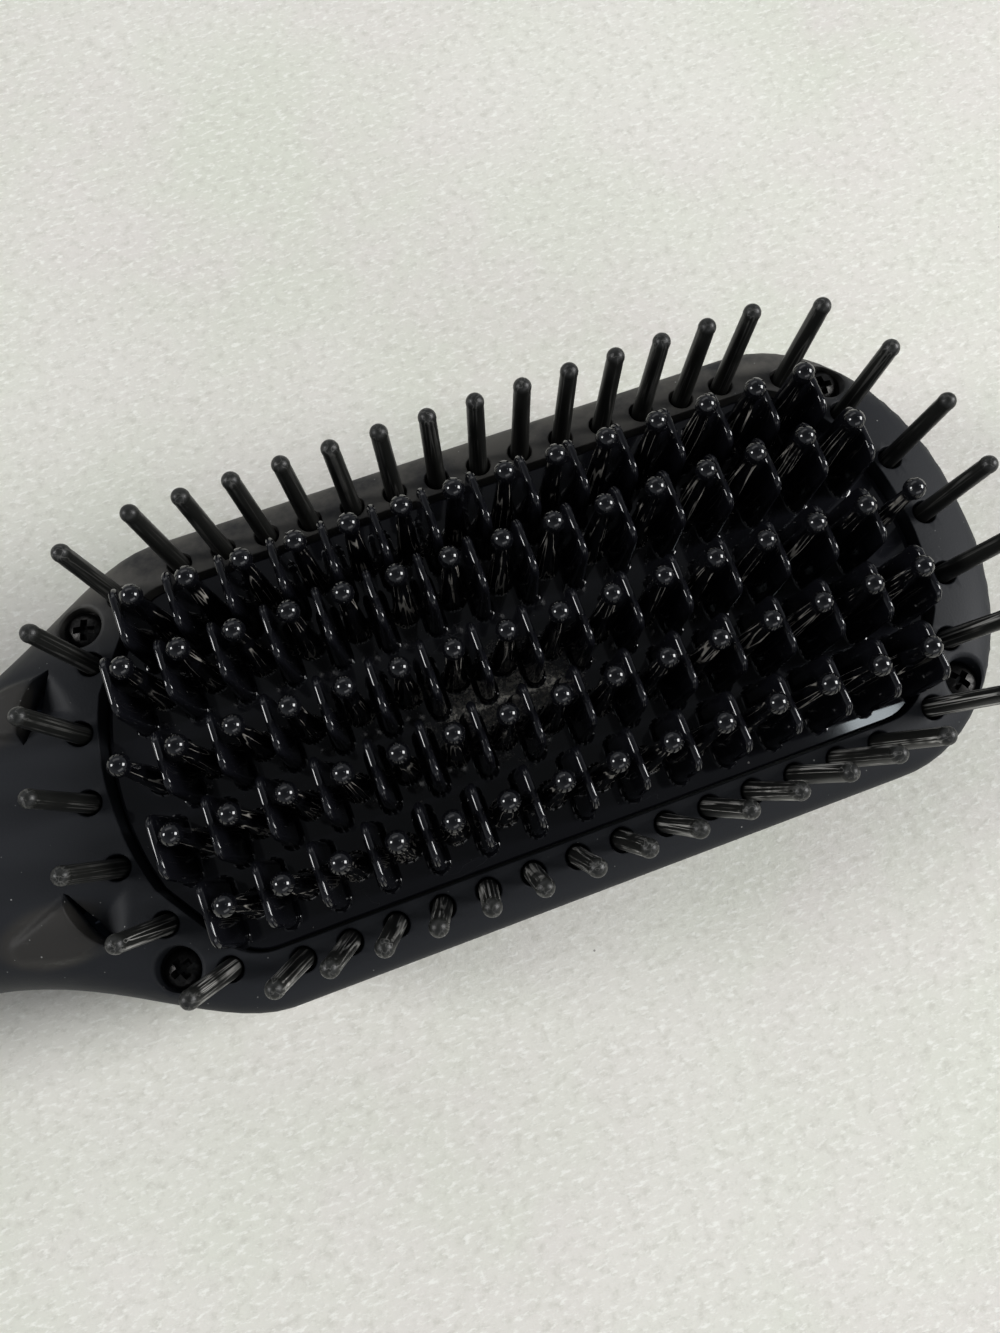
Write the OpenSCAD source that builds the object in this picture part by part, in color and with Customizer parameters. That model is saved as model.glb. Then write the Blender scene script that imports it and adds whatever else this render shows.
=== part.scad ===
// Heated straightening brush lying on its back, bristles up.
// X runs along the brush to the tip, Y across it, Z up. The origin lies under the middle of the
// brush, on the surface that it rests on.

/* [Fins and heated pins] */
// Number of fins in the longest rows
fin_count = 16; // [14:1:17]
// Distance between two fins in a row
fin_pitch = 6.2; // [5.9:0.05:6.7]
// Distance between two rows
row_pitch = 8.74; // [8.64:0.02:9.2]
// Shift of the second row toward the edge
row_shift = 1.3; // [0:0.1:1.4]
// Length of a fin across the brush
fin_len = 8.4; // [7.6:0.1:8.6]
// Height of the fins above the plate
fin_h = 11.8; // [9:0.1:13]
// Thickness of a fin above its foot
fin_t = 2; // [1.6:0.1:2.2]
// Thickness of a fin at its top
fin_top_t = 0.9; // [0.6:0.1:1.2]
// Radius of a fin's top corners
fin_corner_r = 1.9; // [1.2:0.1:2.4]
// Size of the flare at the foot of a fin
fin_flare = 0.4; // [0.2:0.1:0.6]
// Height of the middle of a ball tip above the plate
ball_h = 16.1; // [15:0.1:18]
// Diameter of a ball tip
ball_d = 2.6; // [2.2:0.1:3]
// Diameter of a heated pin at its foot
pin_foot_d = 3; // [2.4:0.1:3.2]
// Diameter of a heated pin just under its ball
pin_neck_d = 1.6; // [1.2:0.1:1.8]

/* [Heater plate] */
// Bare edge of the plate beside the outer rows
plate_margin = 1.07; // [0.8:0.01:1.6]
// Bare edge of the plate beyond the end fins
plate_end = 5.3; // [4.8:0.1:6]
// Thickness of the plate
plate_t = 3.1; // [2.6:0.1:3.6]
// Depth of the plate below the face round it
plate_sink = 1.5; // [1:0.1:2]
// Radius of the bowed ends of the plate
plate_bow_r = 36; // [32:1:42]
// Radius of the corners at the long sides of the plate
plate_corner_r = 6; // [4:0.5:8]
// Thickness of the ceramic heaters
heater_t = 2.5; // [2:0.1:3]
// Width of the ceramic heaters
heater_w = 14; // [10:0.5:18]
// Distance of the outer clamp screws from the middle of the plate
clamp_x = 38; // [34:0.5:40]

/* [Head] */
// Width of the face beside the plate's opening
rim_w = 6.95; // [6.6:0.05:8]
// Length of the face beyond the plate's opening, at the tip
nose_rim = 9.3; // [9:0.1:11]
// Length of the rounded end of the head
nose_len = 21.7; // [20:0.1:24]
// Distance from the plate's end to the shoulders, where the neck begins
shoulder_in = 11.8; // [10:0.1:14]
// Height of the joint between the two housings in the head
head_seam_z = 18; // [17:0.5:21]
// Rise of the head's face above that joint
face_rise = 6.7; // [6.4:0.1:7.4]

/* [Outer bristles] */
// Number of bristles in each long row
side_count = 14; // [11:1:14]
// Distance of the long rows from the edge of the plate's opening
side_inset = 2.09; // [2:0.01:2.3]
// Step along the brush from a long row to the end arc beside it
corner_step = 8.1; // [7.4:0.1:9]
// Distance of the end bristle from the edge of the plate's opening
end_inset = 2.4; // [2.2:0.1:2.8]
// Half width that the ellipse of the end arcs has beyond the long rows
arc_spread = 16.06; // [15:0.02:17]
// Angle between bristles on the end arcs
arc_step = 11.55; // [11.2:0.05:11.7]
// Height of the bristle tips above the face
bristle_h = 15; // [12:0.1:17]
// Diameter of a bristle at its foot
bristle_foot_d = 2.4; // [2:0.1:2.5]
// Diameter of a bristle at its tip
bristle_tip_d = 2; // [1.6:0.1:2.2]
// Lean of the outermost bristles
bristle_lean = 6.8; // [0:0.2:8]

/* [Neck and grip] */
// Length of the neck, from the shoulders to the grip
neck_len = 52; // [48:1:60]
// Length of the grip
grip_len = 112; // [108:1:130]
// Width of the grip
grip_w = 31; // [30:0.5:34]
// Height of the grip
grip_h = 28; // [27.5:0.5:30]
// Diameter of the grip's end
butt_d = 27; // [26.5:0.5:29]
// Length of the end cap
cap_len = 8; // [7:0.5:11]
// Radius of the end cap's edge
cap_edge_r = 4; // [2:0.5:5]

/* [Walls and clearances] */
// Wall of the housings
wall = 2; // [1.6:0.1:2.3]
// Gap between the heater plate and the face round it
plate_gap = 0.6; // [0.4:0.1:0.8]
// Gap round a bristle or a button
slide_gap = 0.35; // [0.25:0.05:0.45]
// Clearance between fixed pieces that slip into each other
fit_gap = 0.15; // [0.1:0.05:0.25]
// Radial clearance of the swivel in its bearing
run_gap = 0.05; // [0.03:0.01:0.09]

/* [Screws] */
// Distance of the head screws from the plate's end, toward the middle
screw_in = 1.1; // [0.7:0.1:1.4]
// Distance of the head screws from the plate's long edge, toward the middle
screw_side = 1.19; // [1:0.01:1.6]
// Diameter of a screw head
screw_head_d = 4.6; // [4:0.1:4.8]
// Diameter of a screw's shank
screw_d = 2.6; // [2.2:0.1:2.8]
// Depth of the screw heads below the face
screw_sink = 1.4; // [0.8:0.1:1.8]
// Distance of the front grip screws from the middle of the brush
grip_screw_y = 8.5; // [7.5:0.1:9]

/* [Air scoops] */
// Distance from the plate's end to the shallow ends of the scoops
scoop_out = 2.95; // [2.8:0.05:3.6]
// Distance of each scoop's shallow end from the middle of the brush
scoop_y = 11.45; // [11.2:0.05:11.8]
// Angle by which each scoop runs outward on its way to the grip
scoop_heading = 28; // [24:1:32]
// Length of a scoop from its shallow end to its curved wall
scoop_len = 5; // [4.4:0.1:5.4]
// Radius of the curved wall
scoop_rim_r = 8.3; // [7.6:0.1:9]
// Half of the angle over which the curved wall runs
scoop_half_deg = 31; // [27:1:33]
// Depth of a scoop at its curved wall
scoop_depth = 2.2; // [1.6:0.1:2.6]
// Width of the air slot in a scoop
slot_w = 1.3; // [1:0.1:1.6]

/* [Controls] */
// Distance of the power button from the front of the grip
power_x = 46; // [44:1:50]
// Diameter of the power button
power_d = 10; // [9:0.5:10.5]
// Diameter of the temperature buttons
temp_d = 8; // [7:0.5:9]
// Distance between neighbouring buttons
button_step = 13.5; // [13:0.5:15]
// Height of the button caps above the top of the grip
button_rise = 0.5; // [0.3:0.1:1]
// Travel of the buttons
button_travel = 0.6; // [0.3:0.1:0.7]
// Length of the display window
window_len = 20; // [16:1:21]
// Width of the display window
window_w = 9; // [8:0.5:10]

/* [Cord swivel] */
// Diameter of the swivel's journal
swivel_d = 14; // [13:0.5:14.5]
// Length of the swivel outside the end cap
swivel_reach = 12; // [8:0.5:16]
// Diameter of the bore for the cord
cord_bore_d = 6.4; // [5:0.1:6.8]
// Length of the swivel's spindle, which carries the slip rings
spindle_len = 16; // [15:0.5:18]

/* [Hidden] */
$fn = 48;
small_fn = 24;
eps = 0.01;
far = 60;

// Rows of the heater plate
row_count = 5;
shifted_row = 1;
row_reach = (row_count - 1) / 2 * row_pitch;
plate_w = 2 * row_reach + fin_len + 2 * plate_margin;
plate_len = (fin_count - 1) * fin_pitch + 2 * plate_end;
open_x = plate_len / 2 + plate_gap;
open_y = plate_w / 2 + plate_gap;
function row_y(r) = row_reach - r * row_pitch + (r == shifted_row ? row_shift : 0);
function row_size(r) = fin_count - (r % 2 == 0 ? 1 : 0);
function spread(n, i) = i - (n - 1) / 2;

// Stations along the brush
head_w = 2 * (open_y + rim_w);
head_reach = open_x + nose_rim;
shoulder = plate_len / 2 - shoulder_in;
overall_len = head_reach + shoulder + neck_len + grip_len + cap_len + swivel_reach;
x_tip = overall_len / 2;
x_mid = x_tip - head_reach;
x_nose = x_tip - nose_len;
x_shoulder = x_mid - shoulder;
x_neck = x_shoulder - neck_len;
x_butt = x_neck - grip_len;

// Loft of the housings: half widths and heights of the sections, drawn in by g
belly_drop = 0.5;
neck_skew = 1.7;
face_power = 4;
belly_power = 2.8;
grip_power = 2;
grip_stations = 6;
neck_stations = 13;
body_stations = 3;
nose_stations = 10;
nose_last = 88;
section_points = 20;
grip_lift = 0.4;
grip_z = grip_h / 2 + grip_lift;
function smooth(t) = let(c = min(1, max(0, t))) c * c * (3 - 2 * c);
function mix(a, b, t) = a + (b - a) * t;
function neck_at(x) = min(1, max(0, (x - x_neck) / neck_len));
function grip_at(x) = min(1, max(0, (x_neck - x) / grip_len));
function nose_at(x, g) = min(1, max(0, (x - x_nose) / (nose_len - g)));
function seam_z(x) = mix(grip_z, head_seam_z, smooth(neck_at(x)));
function grip_half(size, x) = mix(size, butt_d, smooth(grip_at(x))) / 2;
function half_w(x, g) =
    (mix(grip_half(grip_w, x), head_w / 2, smooth(pow(neck_at(x), neck_skew))) - g)
    * sqrt(1 - pow(nose_at(x, g), 2));
function top_h(x, g) =
    (mix(grip_half(grip_h, x), face_rise, smooth(neck_at(x))) - g)
    * pow(1 - pow(nose_at(x, g), face_power), 1 / face_power);
function belly_h(x, g) =
    (mix(grip_half(grip_h, x), head_seam_z + belly_drop, smooth(neck_at(x))) - g)
    * pow(1 - pow(nose_at(x, g), belly_power), 1 / belly_power);
function top_power(x) = mix(grip_power, face_power, smooth(neck_at(x)));
function low_power(x) = mix(grip_power, belly_power, smooth(neck_at(x)));
function arch(h, w, n, y) = h * pow(max(0, 1 - pow(abs(y) / w, n)), 1 / n);
// Heights of the outer surface (g = 0) or the inner one (g = wall) over and under a point
function top_z(x, y, g = 0) = seam_z(x) + arch(top_h(x, g), half_w(x, g), top_power(x), y);
function low_z(x, y, g = 0) = seam_z(x) - arch(belly_h(x, g), half_w(x, g), low_power(x), y);
function stations(g, start) = concat(
    [start],
    [for (i = [1:grip_stations - 1]) x_butt + grip_len * i / grip_stations],
    [for (i = [0:neck_stations - 1]) x_neck + neck_len * i / neck_stations],
    [for (i = [0:body_stations - 1]) x_shoulder + (x_nose - x_shoulder) * i / body_stations],
    [for (i = [0:nose_stations]) x_nose + (nose_len - g) * sin(nose_last * i / nose_stations)]);
function bent(c, n) = sign(c) * pow(abs(c), 2 / n);
// One section: an arch above (side = 1) or below (side = -1) the seam, with a skirt past it
function section(x, g, side, skirt) =
    let(w = half_w(x, g), z0 = seam_z(x), h = side > 0 ? top_h(x, g) : belly_h(x, g),
        n = side > 0 ? top_power(x) : low_power(x))
    concat(
        [for (j = [0:section_points])
            let(a = 180 * j / section_points)
            [x, w * bent(cos(a), n), z0 + side * h * bent(abs(sin(a)), n)]],
        skirt > 0 ? [[x, -w, z0 - side * skirt], [x, w, z0 - side * skirt]] : []);
module loft(rings) {
    n = len(rings[0]);
    last = len(rings) - 1;
    polyhedron(
        points = [for (r = rings) each r],
        faces = concat(
            [[for (j = [0:n - 1]) j]],
            [[for (j = [n - 1:-1:0]) last * n + j]],
            [for (i = [0:last - 1], j = [0:n - 1])
                [i * n + j, (i + 1) * n + j, (i + 1) * n + (j + 1) % n]],
            [for (i = [0:last - 1], j = [0:n - 1])
                [i * n + j, (i + 1) * n + (j + 1) % n, i * n + (j + 1) % n]]));
}
module half_body(side, g, skirt, start) {
    rings = [for (x = stations(g, start)) section(x, g, side, skirt)];
    if (side < 0) loft([for (i = [len(rings) - 1:-1:0]) rings[i]]);
    else loft(rings);
}
skirt = 1;
module front_outer() half_body(1, 0, 0, x_butt);
module front_cavity() half_body(1, wall, skirt, x_butt - skirt);
module rear_outer() intersection() {
    half_body(-1, 0, 0, x_butt);
    translate([-overall_len, -head_w, 0]) cube([2 * overall_len, 2 * head_w, far]);
}
module rear_cavity() half_body(-1, wall, skirt, x_butt - skirt);

// Heights
face_z = head_seam_z + arch(face_rise, head_w / 2, face_power, open_y);
plate_z = face_z - plate_sink;
plate_foot_z = plate_z - plate_t;
ring_lip = 2.5;
ring_low_z = plate_foot_z - ring_lip;
ring_top_z = plate_foot_z + 0.5;
ball_z = plate_z + ball_h;

// Outline of the heater plate: bowed ends, cut corners and straight long sides
plate_end_deg = 19.6;
plate_cut_deg = 34;
plate_end_x = plate_len / 2 - plate_bow_r + plate_bow_r * cos(plate_end_deg);
plate_end_y = plate_bow_r * sin(plate_end_deg);
// The cut corner is one straight line from the bowed end to the corner arc
plate_corner_x = plate_end_x - plate_corner_r / cos(plate_cut_deg)
    + (plate_end_y - plate_w / 2 + plate_corner_r) * tan(plate_cut_deg);
function plate_quadrant(g) = concat(
    [for (a = [0:4.9:plate_end_deg])
        [plate_len / 2 - plate_bow_r + (plate_bow_r + g) * cos(a), (plate_bow_r + g) * sin(a)]],
    [for (a = [plate_cut_deg:8:90])
        [plate_corner_x + (plate_corner_r + g) * cos(a),
         plate_w / 2 - plate_corner_r + (plate_corner_r + g) * sin(a)]]);
module plate_outline(g = 0) {
    q = plate_quadrant(g);
    n = len(q) - 1;
    polygon(concat(
        q,
        [for (i = [n:-1:0]) [-q[i][0], q[i][1]]],
        [for (i = [1:n]) [-q[i][0], -q[i][1]]],
        [for (i = [n:-1:1]) [q[i][0], -q[i][1]]]));
}

// Places of the outer bristles where they pass the face, from the middle of the plate
side_y = open_y + side_inset;
arc_a = open_x + end_inset;
arc_b = side_y + arc_spread;
arc_side = 3;
side_half = arc_a * cos(arc_side * arc_step) - corner_step;
side_pitch = 2 * side_half / (side_count - 1);
bristle_places = concat(
    [for (s = [-1, 1], i = [0:side_count - 1]) [spread(side_count, i) * side_pitch, s * side_y]],
    [for (s = [-1, 1], k = [-arc_side:arc_side])
        [s * arc_a * cos(k * arc_step), arc_b * sin(k * arc_step)]]);
// A bristle leans outward in proportion to its distance from the middle
module leaning(p, z) {
    lean = tan(bristle_lean) * [p[0] / arc_a, p[1] / side_y];
    translate([x_mid + p[0], p[1], face_z])
        rotate([0, 0, atan2(lean[1], lean[0])])
            rotate([0, atan(norm(lean)), 0])
                translate([0, 0, z - face_z]) children();
}

// Screws of the head
screw_x = plate_len / 2 - screw_in;
screw_y = plate_w / 2 - screw_side;
screw_head_t = 1.6;
// A screw ends this far short of the bottom of its pilot bore
screw_spare = 1;
boss_wall = 1.2;
head_places = [for (sx = [-1, 1], sy = [-1, 1]) [x_mid + sx * screw_x, sy * screw_y]];
function head_seat(p) = top_z(p[0], p[1]) - screw_sink - screw_head_t;
head_boss_d = screw_head_d + 2 * boss_wall;
post_floor = 2.5;
function head_foot(p) = low_z(p[0], p[1]) + post_floor;

// Screws of the grip: two at the front of the board and one behind it
tail_in = 30;
grip_seat = 5;
grip_pilot = 9;
grip_head_t = 2.2;
board_pilot = 9;
board_head_t = 1.4;
grip_screw_in = 6;
handle_places = [[x_neck + grip_screw_in, grip_screw_y], [x_neck + grip_screw_in, -grip_screw_y],
    [x_butt + tail_in, 0]];
function handle_seat(p) = low_z(p[0], p[1]) + grip_seat;

// A pan-head screw with a cross recess, standing on its head: its seat is at the origin and its
// shank points down
module screw(shank_len, head_h) {
    difference() {
        union() {
            cylinder(d = screw_head_d, h = head_h * 0.6, $fn = small_fn);
            translate([0, 0, head_h * 0.6])
                cylinder(d1 = screw_head_d, d2 = screw_head_d * 0.7, h = head_h * 0.4, $fn = small_fn);
            translate([0, 0, -shank_len]) cylinder(d = screw_d, h = shank_len, $fn = small_fn);
        }
        for (a = [0, 90]) rotate([0, 0, a])
            translate([-screw_head_d * 0.3, -0.3, head_h * 0.5])
                cube([screw_head_d * 0.6, 0.6, head_h]);
    }
}

// Board, switches and display in the grip
board_t = 1.6;
board_rise = 3.6;
board_w = butt_d - 2 * wall - 1;
board_front = x_neck - 2;
board_tail = 10;
board_back = x_neck - power_x - button_step - board_tail;
board_top = grip_z + board_rise;
board_screw_in = 4;
board_places = [for (x = [board_front - board_screw_in, board_back + board_screw_in], s = [-1, 1])
    [x, s * (board_w / 2 - 3)]];
button_x = [for (i = [-1:1]) x_neck - power_x - i * button_step];
button_d = [temp_d, power_d, temp_d];
switch_h = 3.5;
switch_w = 6;
plunger_d = 3.4;
plunger_play = 0.4;
flange = 1;
flange_t = 1;
stem_d = 4;
stem_z = board_top + switch_h + button_travel + plunger_play;
function flange_z(i) = top_z(button_x[i], button_d[i] / 2 + flange, wall) - 0.3;
window_x = x_neck - power_x + button_step + temp_d / 2 + 4 + window_len / 2;
window_sink = 1.5;
window_r = 2;
window_lip = 1;
window_floor = top_z(window_x, 0) - window_sink;
module window_outline(g) translate([window_x, 0]) {
    l = window_len / 2 + g;
    w = window_w / 2 + g;
    r = window_r + g;
    square([2 * l, 2 * (w - r)], center = true);
    square([2 * (l - r), 2 * w], center = true);
    for (sx = [-1, 1], sy = [-1, 1]) translate([sx * (l - r), sy * (w - r)]) circle(r, $fn = small_fn);
}

// Air scoops: a ramp that starts on the skin beside the bristles, dives toward the grip and ends at
// a curved wall with the air slot at its foot
scoop_x = x_mid - plate_len / 2 - scoop_out;
scoop_z = top_z(scoop_x, scoop_y);
scoop_end_x = scoop_x - scoop_len * cos(scoop_heading);
scoop_end_y = scoop_y + scoop_len * sin(scoop_heading);
scoop_deg = atan((scoop_z - top_z(scoop_end_x, scoop_end_y) + scoop_depth) / scoop_len);
scoop_wall = 1.4;
// The two sides of a scoop meet this far before its shallow end
scoop_near = scoop_rim_r - scoop_len;
slot_end_deg = 6;
module scoop_fan(reach, half_deg, g) {
    side = g / cos(half_deg);
    polygon([[-g, (scoop_near - g) * tan(half_deg) + side],
             [reach, (scoop_near + reach) * tan(half_deg) + side],
             [reach, -(scoop_near + reach) * tan(half_deg) - side],
             [-g, -(scoop_near - g) * tan(half_deg) - side]]);
}
module scoop_outline(g = 0) intersection() {
    scoop_fan(scoop_len + g, scoop_half_deg, g);
    translate([-scoop_near, 0]) circle(scoop_rim_r + g);
}
module at_scoops() for (s = [-1, 1])
    translate([scoop_x, s * scoop_y, scoop_z])
        rotate([0, 0, s * (180 - scoop_heading)]) rotate([0, scoop_deg, 0]) children();
module slot_outline() difference() {
    intersection() {
        scoop_fan(scoop_len, scoop_half_deg - slot_end_deg, 0);
        translate([-scoop_near, 0]) circle(scoop_rim_r);
    }
    translate([-scoop_near, 0]) circle(scoop_rim_r - slot_w);
}

// Swivel, laid out along an axis that points out of the grip's end
bearing_in = 1.5;
swivel_gap = 0.3;
washer_t = 1;
washer_d = swivel_d + 4;
groove_d = swivel_d - 3;
groove_low = -bearing_in - swivel_gap - washer_t - fit_gap;
head_low = groove_low - 2;
spindle_step = 2.3;
spindle_d = swivel_d - 2 * spindle_step;
ring_d = spindle_d + 1.6;
ring_t = 3;
ring_in = 3.5;
ring_step = 5.5;
ring_places = [head_low - ring_in - ring_t, head_low - ring_in - ring_step - ring_t];
collar_d = swivel_d + 3;
collar_end_d = swivel_d - 1;
spigot_len = 7;
spigot_d = butt_d - 2 * wall - 2 * fit_gap;
pocket_d = washer_d + 1.2;
module out_of_butt() translate([x_butt, 0, grip_z]) rotate([0, -90, 0]) children();
contact_z = grip_z - butt_d / 2 + wall + 1.3;
contact_t = 1.6;
contact_r = grip_z - ring_d / 2 - 0.2 - contact_z - contact_t;
contact_x = x_butt - ring_places[0] - ring_t / 2;
contact_x2 = x_butt - ring_places[1] - ring_t / 2;
contact_end = ring_t * 0.75;
contact_w = 8;

// Posts and bosses inside the housings
ring_post_d = 4;
ring_post_y = plate_w / 2 + side_inset / 2 + 0.3;
ring_post_step = 30;
ion_in = 21;
ion_x = x_neck + ion_in;
ion_size = [17, 18, 9];
ion_z = 6.5;
ion_lug_t = 2;
ion_pin_d = 2;
ion_pin_len = 3;
ion_pin_step = 4;
boss_wall_thin = 1.7;
post_wall = 2;
board_post_wall = 1.3;
module bosses() {
    for (p = head_places) translate([p[0], p[1], 0]) cylinder(d = head_boss_d, h = far);
    for (p = handle_places) translate([p[0], p[1], 0]) cylinder(d = screw_d + 2 * boss_wall_thin, h = far);
    // Pockets behind the scoops
    at_scoops() translate([0, 0, -scoop_wall]) linear_extrude(far) scoop_outline(scoop_wall);
}
module posts() {
    for (p = head_places) translate([p[0], p[1], 0]) cylinder(d = head_boss_d, h = far);
    for (p = handle_places) translate([p[0], p[1], 0]) cylinder(d = screw_head_d + 2 * post_wall, h = far);
    for (p = board_places) translate([p[0], p[1], 0])
        cylinder(d = screw_d + 2 * board_post_wall, h = board_top - board_t);
    for (i = [-1:1], s = [-1, 1]) translate([x_mid + i * ring_post_step, s * ring_post_y, 0])
        cylinder(d = ring_post_d, h = ring_low_z);
    for (x = [0, ion_size[0] - ion_lug_t])
        translate([ion_x - ion_size[0] / 2 + x, -ion_size[1] / 2, 0])
            cube([ion_lug_t, ion_size[1], ion_z]);
    translate([contact_x - contact_end, -contact_w / 2, 0])
        cube([contact_x2 - contact_x + 2 * contact_end, contact_w, contact_z]);
}

module front_housing() color("#1d1d1f") difference() {
    front_outer();
    difference() {
        front_cavity();
        bosses();
    }
    // Opening for the heater plate
    translate([x_mid, 0, head_seam_z]) linear_extrude(far) plate_outline(plate_gap);
    // Holes for the bristles
    for (p = bristle_places) leaning(p, ring_top_z)
        cylinder(d = bristle_foot_d + 2 * slide_gap, h = face_rise + plate_t, $fn = small_fn);
    // Recesses and holes of the head screws
    for (p = head_places) translate([p[0], p[1], head_seat(p)]) {
        cylinder(d = screw_head_d + 2 * slide_gap, h = far);
        translate([0, 0, -far]) cylinder(d = screw_d + 2 * fit_gap, h = far + eps, $fn = small_fn);
    }
    // Pilot bores of the grip screws
    for (p = handle_places) translate([p[0], p[1], seam_z(p[0]) - skirt])
        cylinder(d = screw_d + 2 * fit_gap, h = skirt + grip_pilot, $fn = small_fn);
    // Air scoops and their slots
    at_scoops() {
        linear_extrude(far) scoop_outline();
        translate([0, 0, -far / 2]) linear_extrude(far) slot_outline();
    }
    // Seat of the display window, and the opening under it
    translate([0, 0, window_floor]) linear_extrude(far) window_outline(0);
    translate([0, 0, grip_z]) linear_extrude(far) window_outline(-window_lip);
    // Button holes
    for (i = [0:2]) translate([button_x[i], 0, grip_z])
        cylinder(d = button_d[i] + 2 * slide_gap, h = far);
}

module rear_housing() color("#1b1b1d") difference() {
    rear_outer();
    difference() {
        rear_cavity();
        posts();
    }
    for (p = head_places) translate([p[0], p[1], head_foot(p)])
        cylinder(d = screw_d + 2 * fit_gap, h = far, $fn = small_fn);
    for (p = handle_places) translate([p[0], p[1], -eps]) {
        cylinder(d = screw_head_d + 2 * slide_gap, h = handle_seat(p) + eps);
        cylinder(d = screw_d + 2 * fit_gap, h = far, $fn = small_fn);
    }
    for (p = board_places) translate([p[0], p[1], board_top - board_t - board_pilot])
        cylinder(d = screw_d + 2 * fit_gap, h = far, $fn = small_fn);
}

// A row of fins: wide at the foot and thin at the top, with rounded top corners and round ends
module fin_profile() {
    polygon([[-fin_t / 2 - fin_flare, -eps], [fin_t / 2 + fin_flare, -eps],
             [fin_t / 2, 2 * fin_flare], [fin_top_t / 2, fin_h - fin_top_t / 2],
             [-fin_top_t / 2, fin_h - fin_top_t / 2], [-fin_t / 2, 2 * fin_flare]]);
    translate([0, fin_h - fin_top_t / 2]) circle(d = fin_top_t, $fn = small_fn);
}
module fin_side() {
    l = fin_len / 2;
    r = fin_corner_r;
    draft = 0.4;
    polygon([[-l, -1], [l, -1], [l - draft, fin_h - r], [l - draft - r, fin_h],
             [r + draft - l, fin_h], [draft - l, fin_h - r]]);
    for (s = [-1, 1]) translate([s * (l - draft - r), fin_h - r]) circle(r, $fn = 32);
}
module fin_foot() {
    w = fin_t + 2 * fin_flare;
    square([w, fin_len - w], center = true);
    for (s = [-1, 1]) translate([0, s * (fin_len - w) / 2]) circle(d = w, $fn = small_fn);
}
module fin_row(n) intersection() {
    rotate([90, 0, 0]) linear_extrude(fin_len + 2, center = true)
        for (i = [0:n - 1]) translate([spread(n, i) * fin_pitch, 0]) fin_profile();
    rotate([90, 0, 90]) linear_extrude(n * fin_pitch, center = true) fin_side();
    translate([0, 0, -1]) linear_extrude(fin_h + 2)
        for (i = [0:n - 1]) translate([spread(n, i) * fin_pitch, 0]) fin_foot();
}
module heated_pin() {
    translate([0, 0, -eps]) cylinder(d1 = pin_foot_d, d2 = pin_neck_d, h = ball_h, $fn = small_fn);
    translate([0, 0, ball_h]) sphere(d = ball_d, $fn = small_fn);
}
clamp_boss_d = 5;
clamp_places = [for (i = [-1:1]) x_mid + i * clamp_x];
clamp_pilot = heater_t + plate_t - 1;
module heater_plate() color("#141416") difference() {
    union() {
        translate([x_mid, 0, plate_foot_z]) linear_extrude(plate_t) plate_outline();
        for (r = [0:row_count - 1]) translate([x_mid, row_y(r), plate_z]) {
            n = row_size(r);
            fin_row(n);
            // A pin stands between each two fins, and at both ends of the middle row
            pins = r == (row_count - 1) / 2 ? n + 1 : n - 1;
            for (i = [0:pins - 1]) translate([spread(pins, i) * fin_pitch, 0, 0]) heated_pin();
        }
        for (x = clamp_places) translate([x, 0, plate_foot_z - heater_t])
            cylinder(d = clamp_boss_d, h = heater_t + eps);
    }
    for (x = clamp_places) translate([x, 0, plate_foot_z - heater_t - eps])
        cylinder(d = screw_d + 2 * fit_gap, h = clamp_pilot, $fn = small_fn);
}

module ellipse(a, b) polygon([for (t = [0:6:354]) [a * cos(t), b * sin(t)]]);
ring_edge = bristle_foot_d / 2 + 0.3;
module bristle_frame() color("#26262a") {
    difference() {
        translate([x_mid, 0, ring_low_z]) linear_extrude(ring_top_z - ring_low_z) difference() {
            intersection() {
                ellipse(arc_a + ring_edge, arc_b + ring_edge);
                square([3 * arc_a, 2 * (side_y + ring_edge)], center = true);
            }
            plate_outline(-ring_lip);
            // Square corner cuts that clear the screw bosses
            for (sx = [-1, 1], sy = [-1, 1]) translate([sx * screw_x, sy * screw_y])
                rotate(sx * sy * plate_cut_deg) square(head_boss_d + 2 * fit_gap, center = true);
        }
        translate([x_mid, 0, plate_foot_z]) linear_extrude(far) plate_outline(fit_gap);
    }
    tip_z = face_z + bristle_h - bristle_tip_d / 2;
    for (p = bristle_places) leaning(p, ring_top_z - 1) {
        cylinder(d1 = bristle_foot_d, d2 = bristle_tip_d, h = tip_z - ring_top_z + 1, $fn = small_fn);
        translate([0, 0, tip_z - ring_top_z + 1]) sphere(d = bristle_tip_d, $fn = small_fn);
    }
}

heater_play = 0.5;
module ceramic_heaters() color("#e9e4d8") for (s = [-1, 1]) {
    l = clamp_x - clamp_boss_d - 2 * heater_play;
    translate([x_mid + s * clamp_x / 2 - l / 2, -heater_w / 2, plate_foot_z - heater_t])
        cube([l, heater_w, heater_t]);
}

clamp_t = 1;
clamp_head_t = 1.8;
clamp_pad_d = 9;
clamp_slot_w = 1.6;
clamp_z = plate_foot_z - heater_t - clamp_t;
module heater_clamp() color("#b9bcc0") difference() {
    translate([x_mid, 0, clamp_z]) linear_extrude(clamp_t) difference() {
        union() {
            square([2 * clamp_x, heater_w - 2], center = true);
            for (s = [-1, 1]) translate([s * clamp_x, 0]) circle(d = clamp_pad_d);
        }
        // Spring slots over the heaters
        for (sx = [-1, 1], sy = [-1, 1]) translate([sx * clamp_x / 2, sy * heater_w / 5])
            square([clamp_x / 2, clamp_slot_w], center = true);
    }
    for (x = clamp_places) translate([x, 0, clamp_z - eps])
        cylinder(d = screw_d + 2 * fit_gap, h = 2 * clamp_t, $fn = small_fn);
}
module clamp_screws() color("#8f9296") for (x = clamp_places)
    translate([x, 0, clamp_z]) rotate([180, 0, 0])
        screw(clamp_t + clamp_pilot - screw_spare, clamp_head_t);

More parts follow.
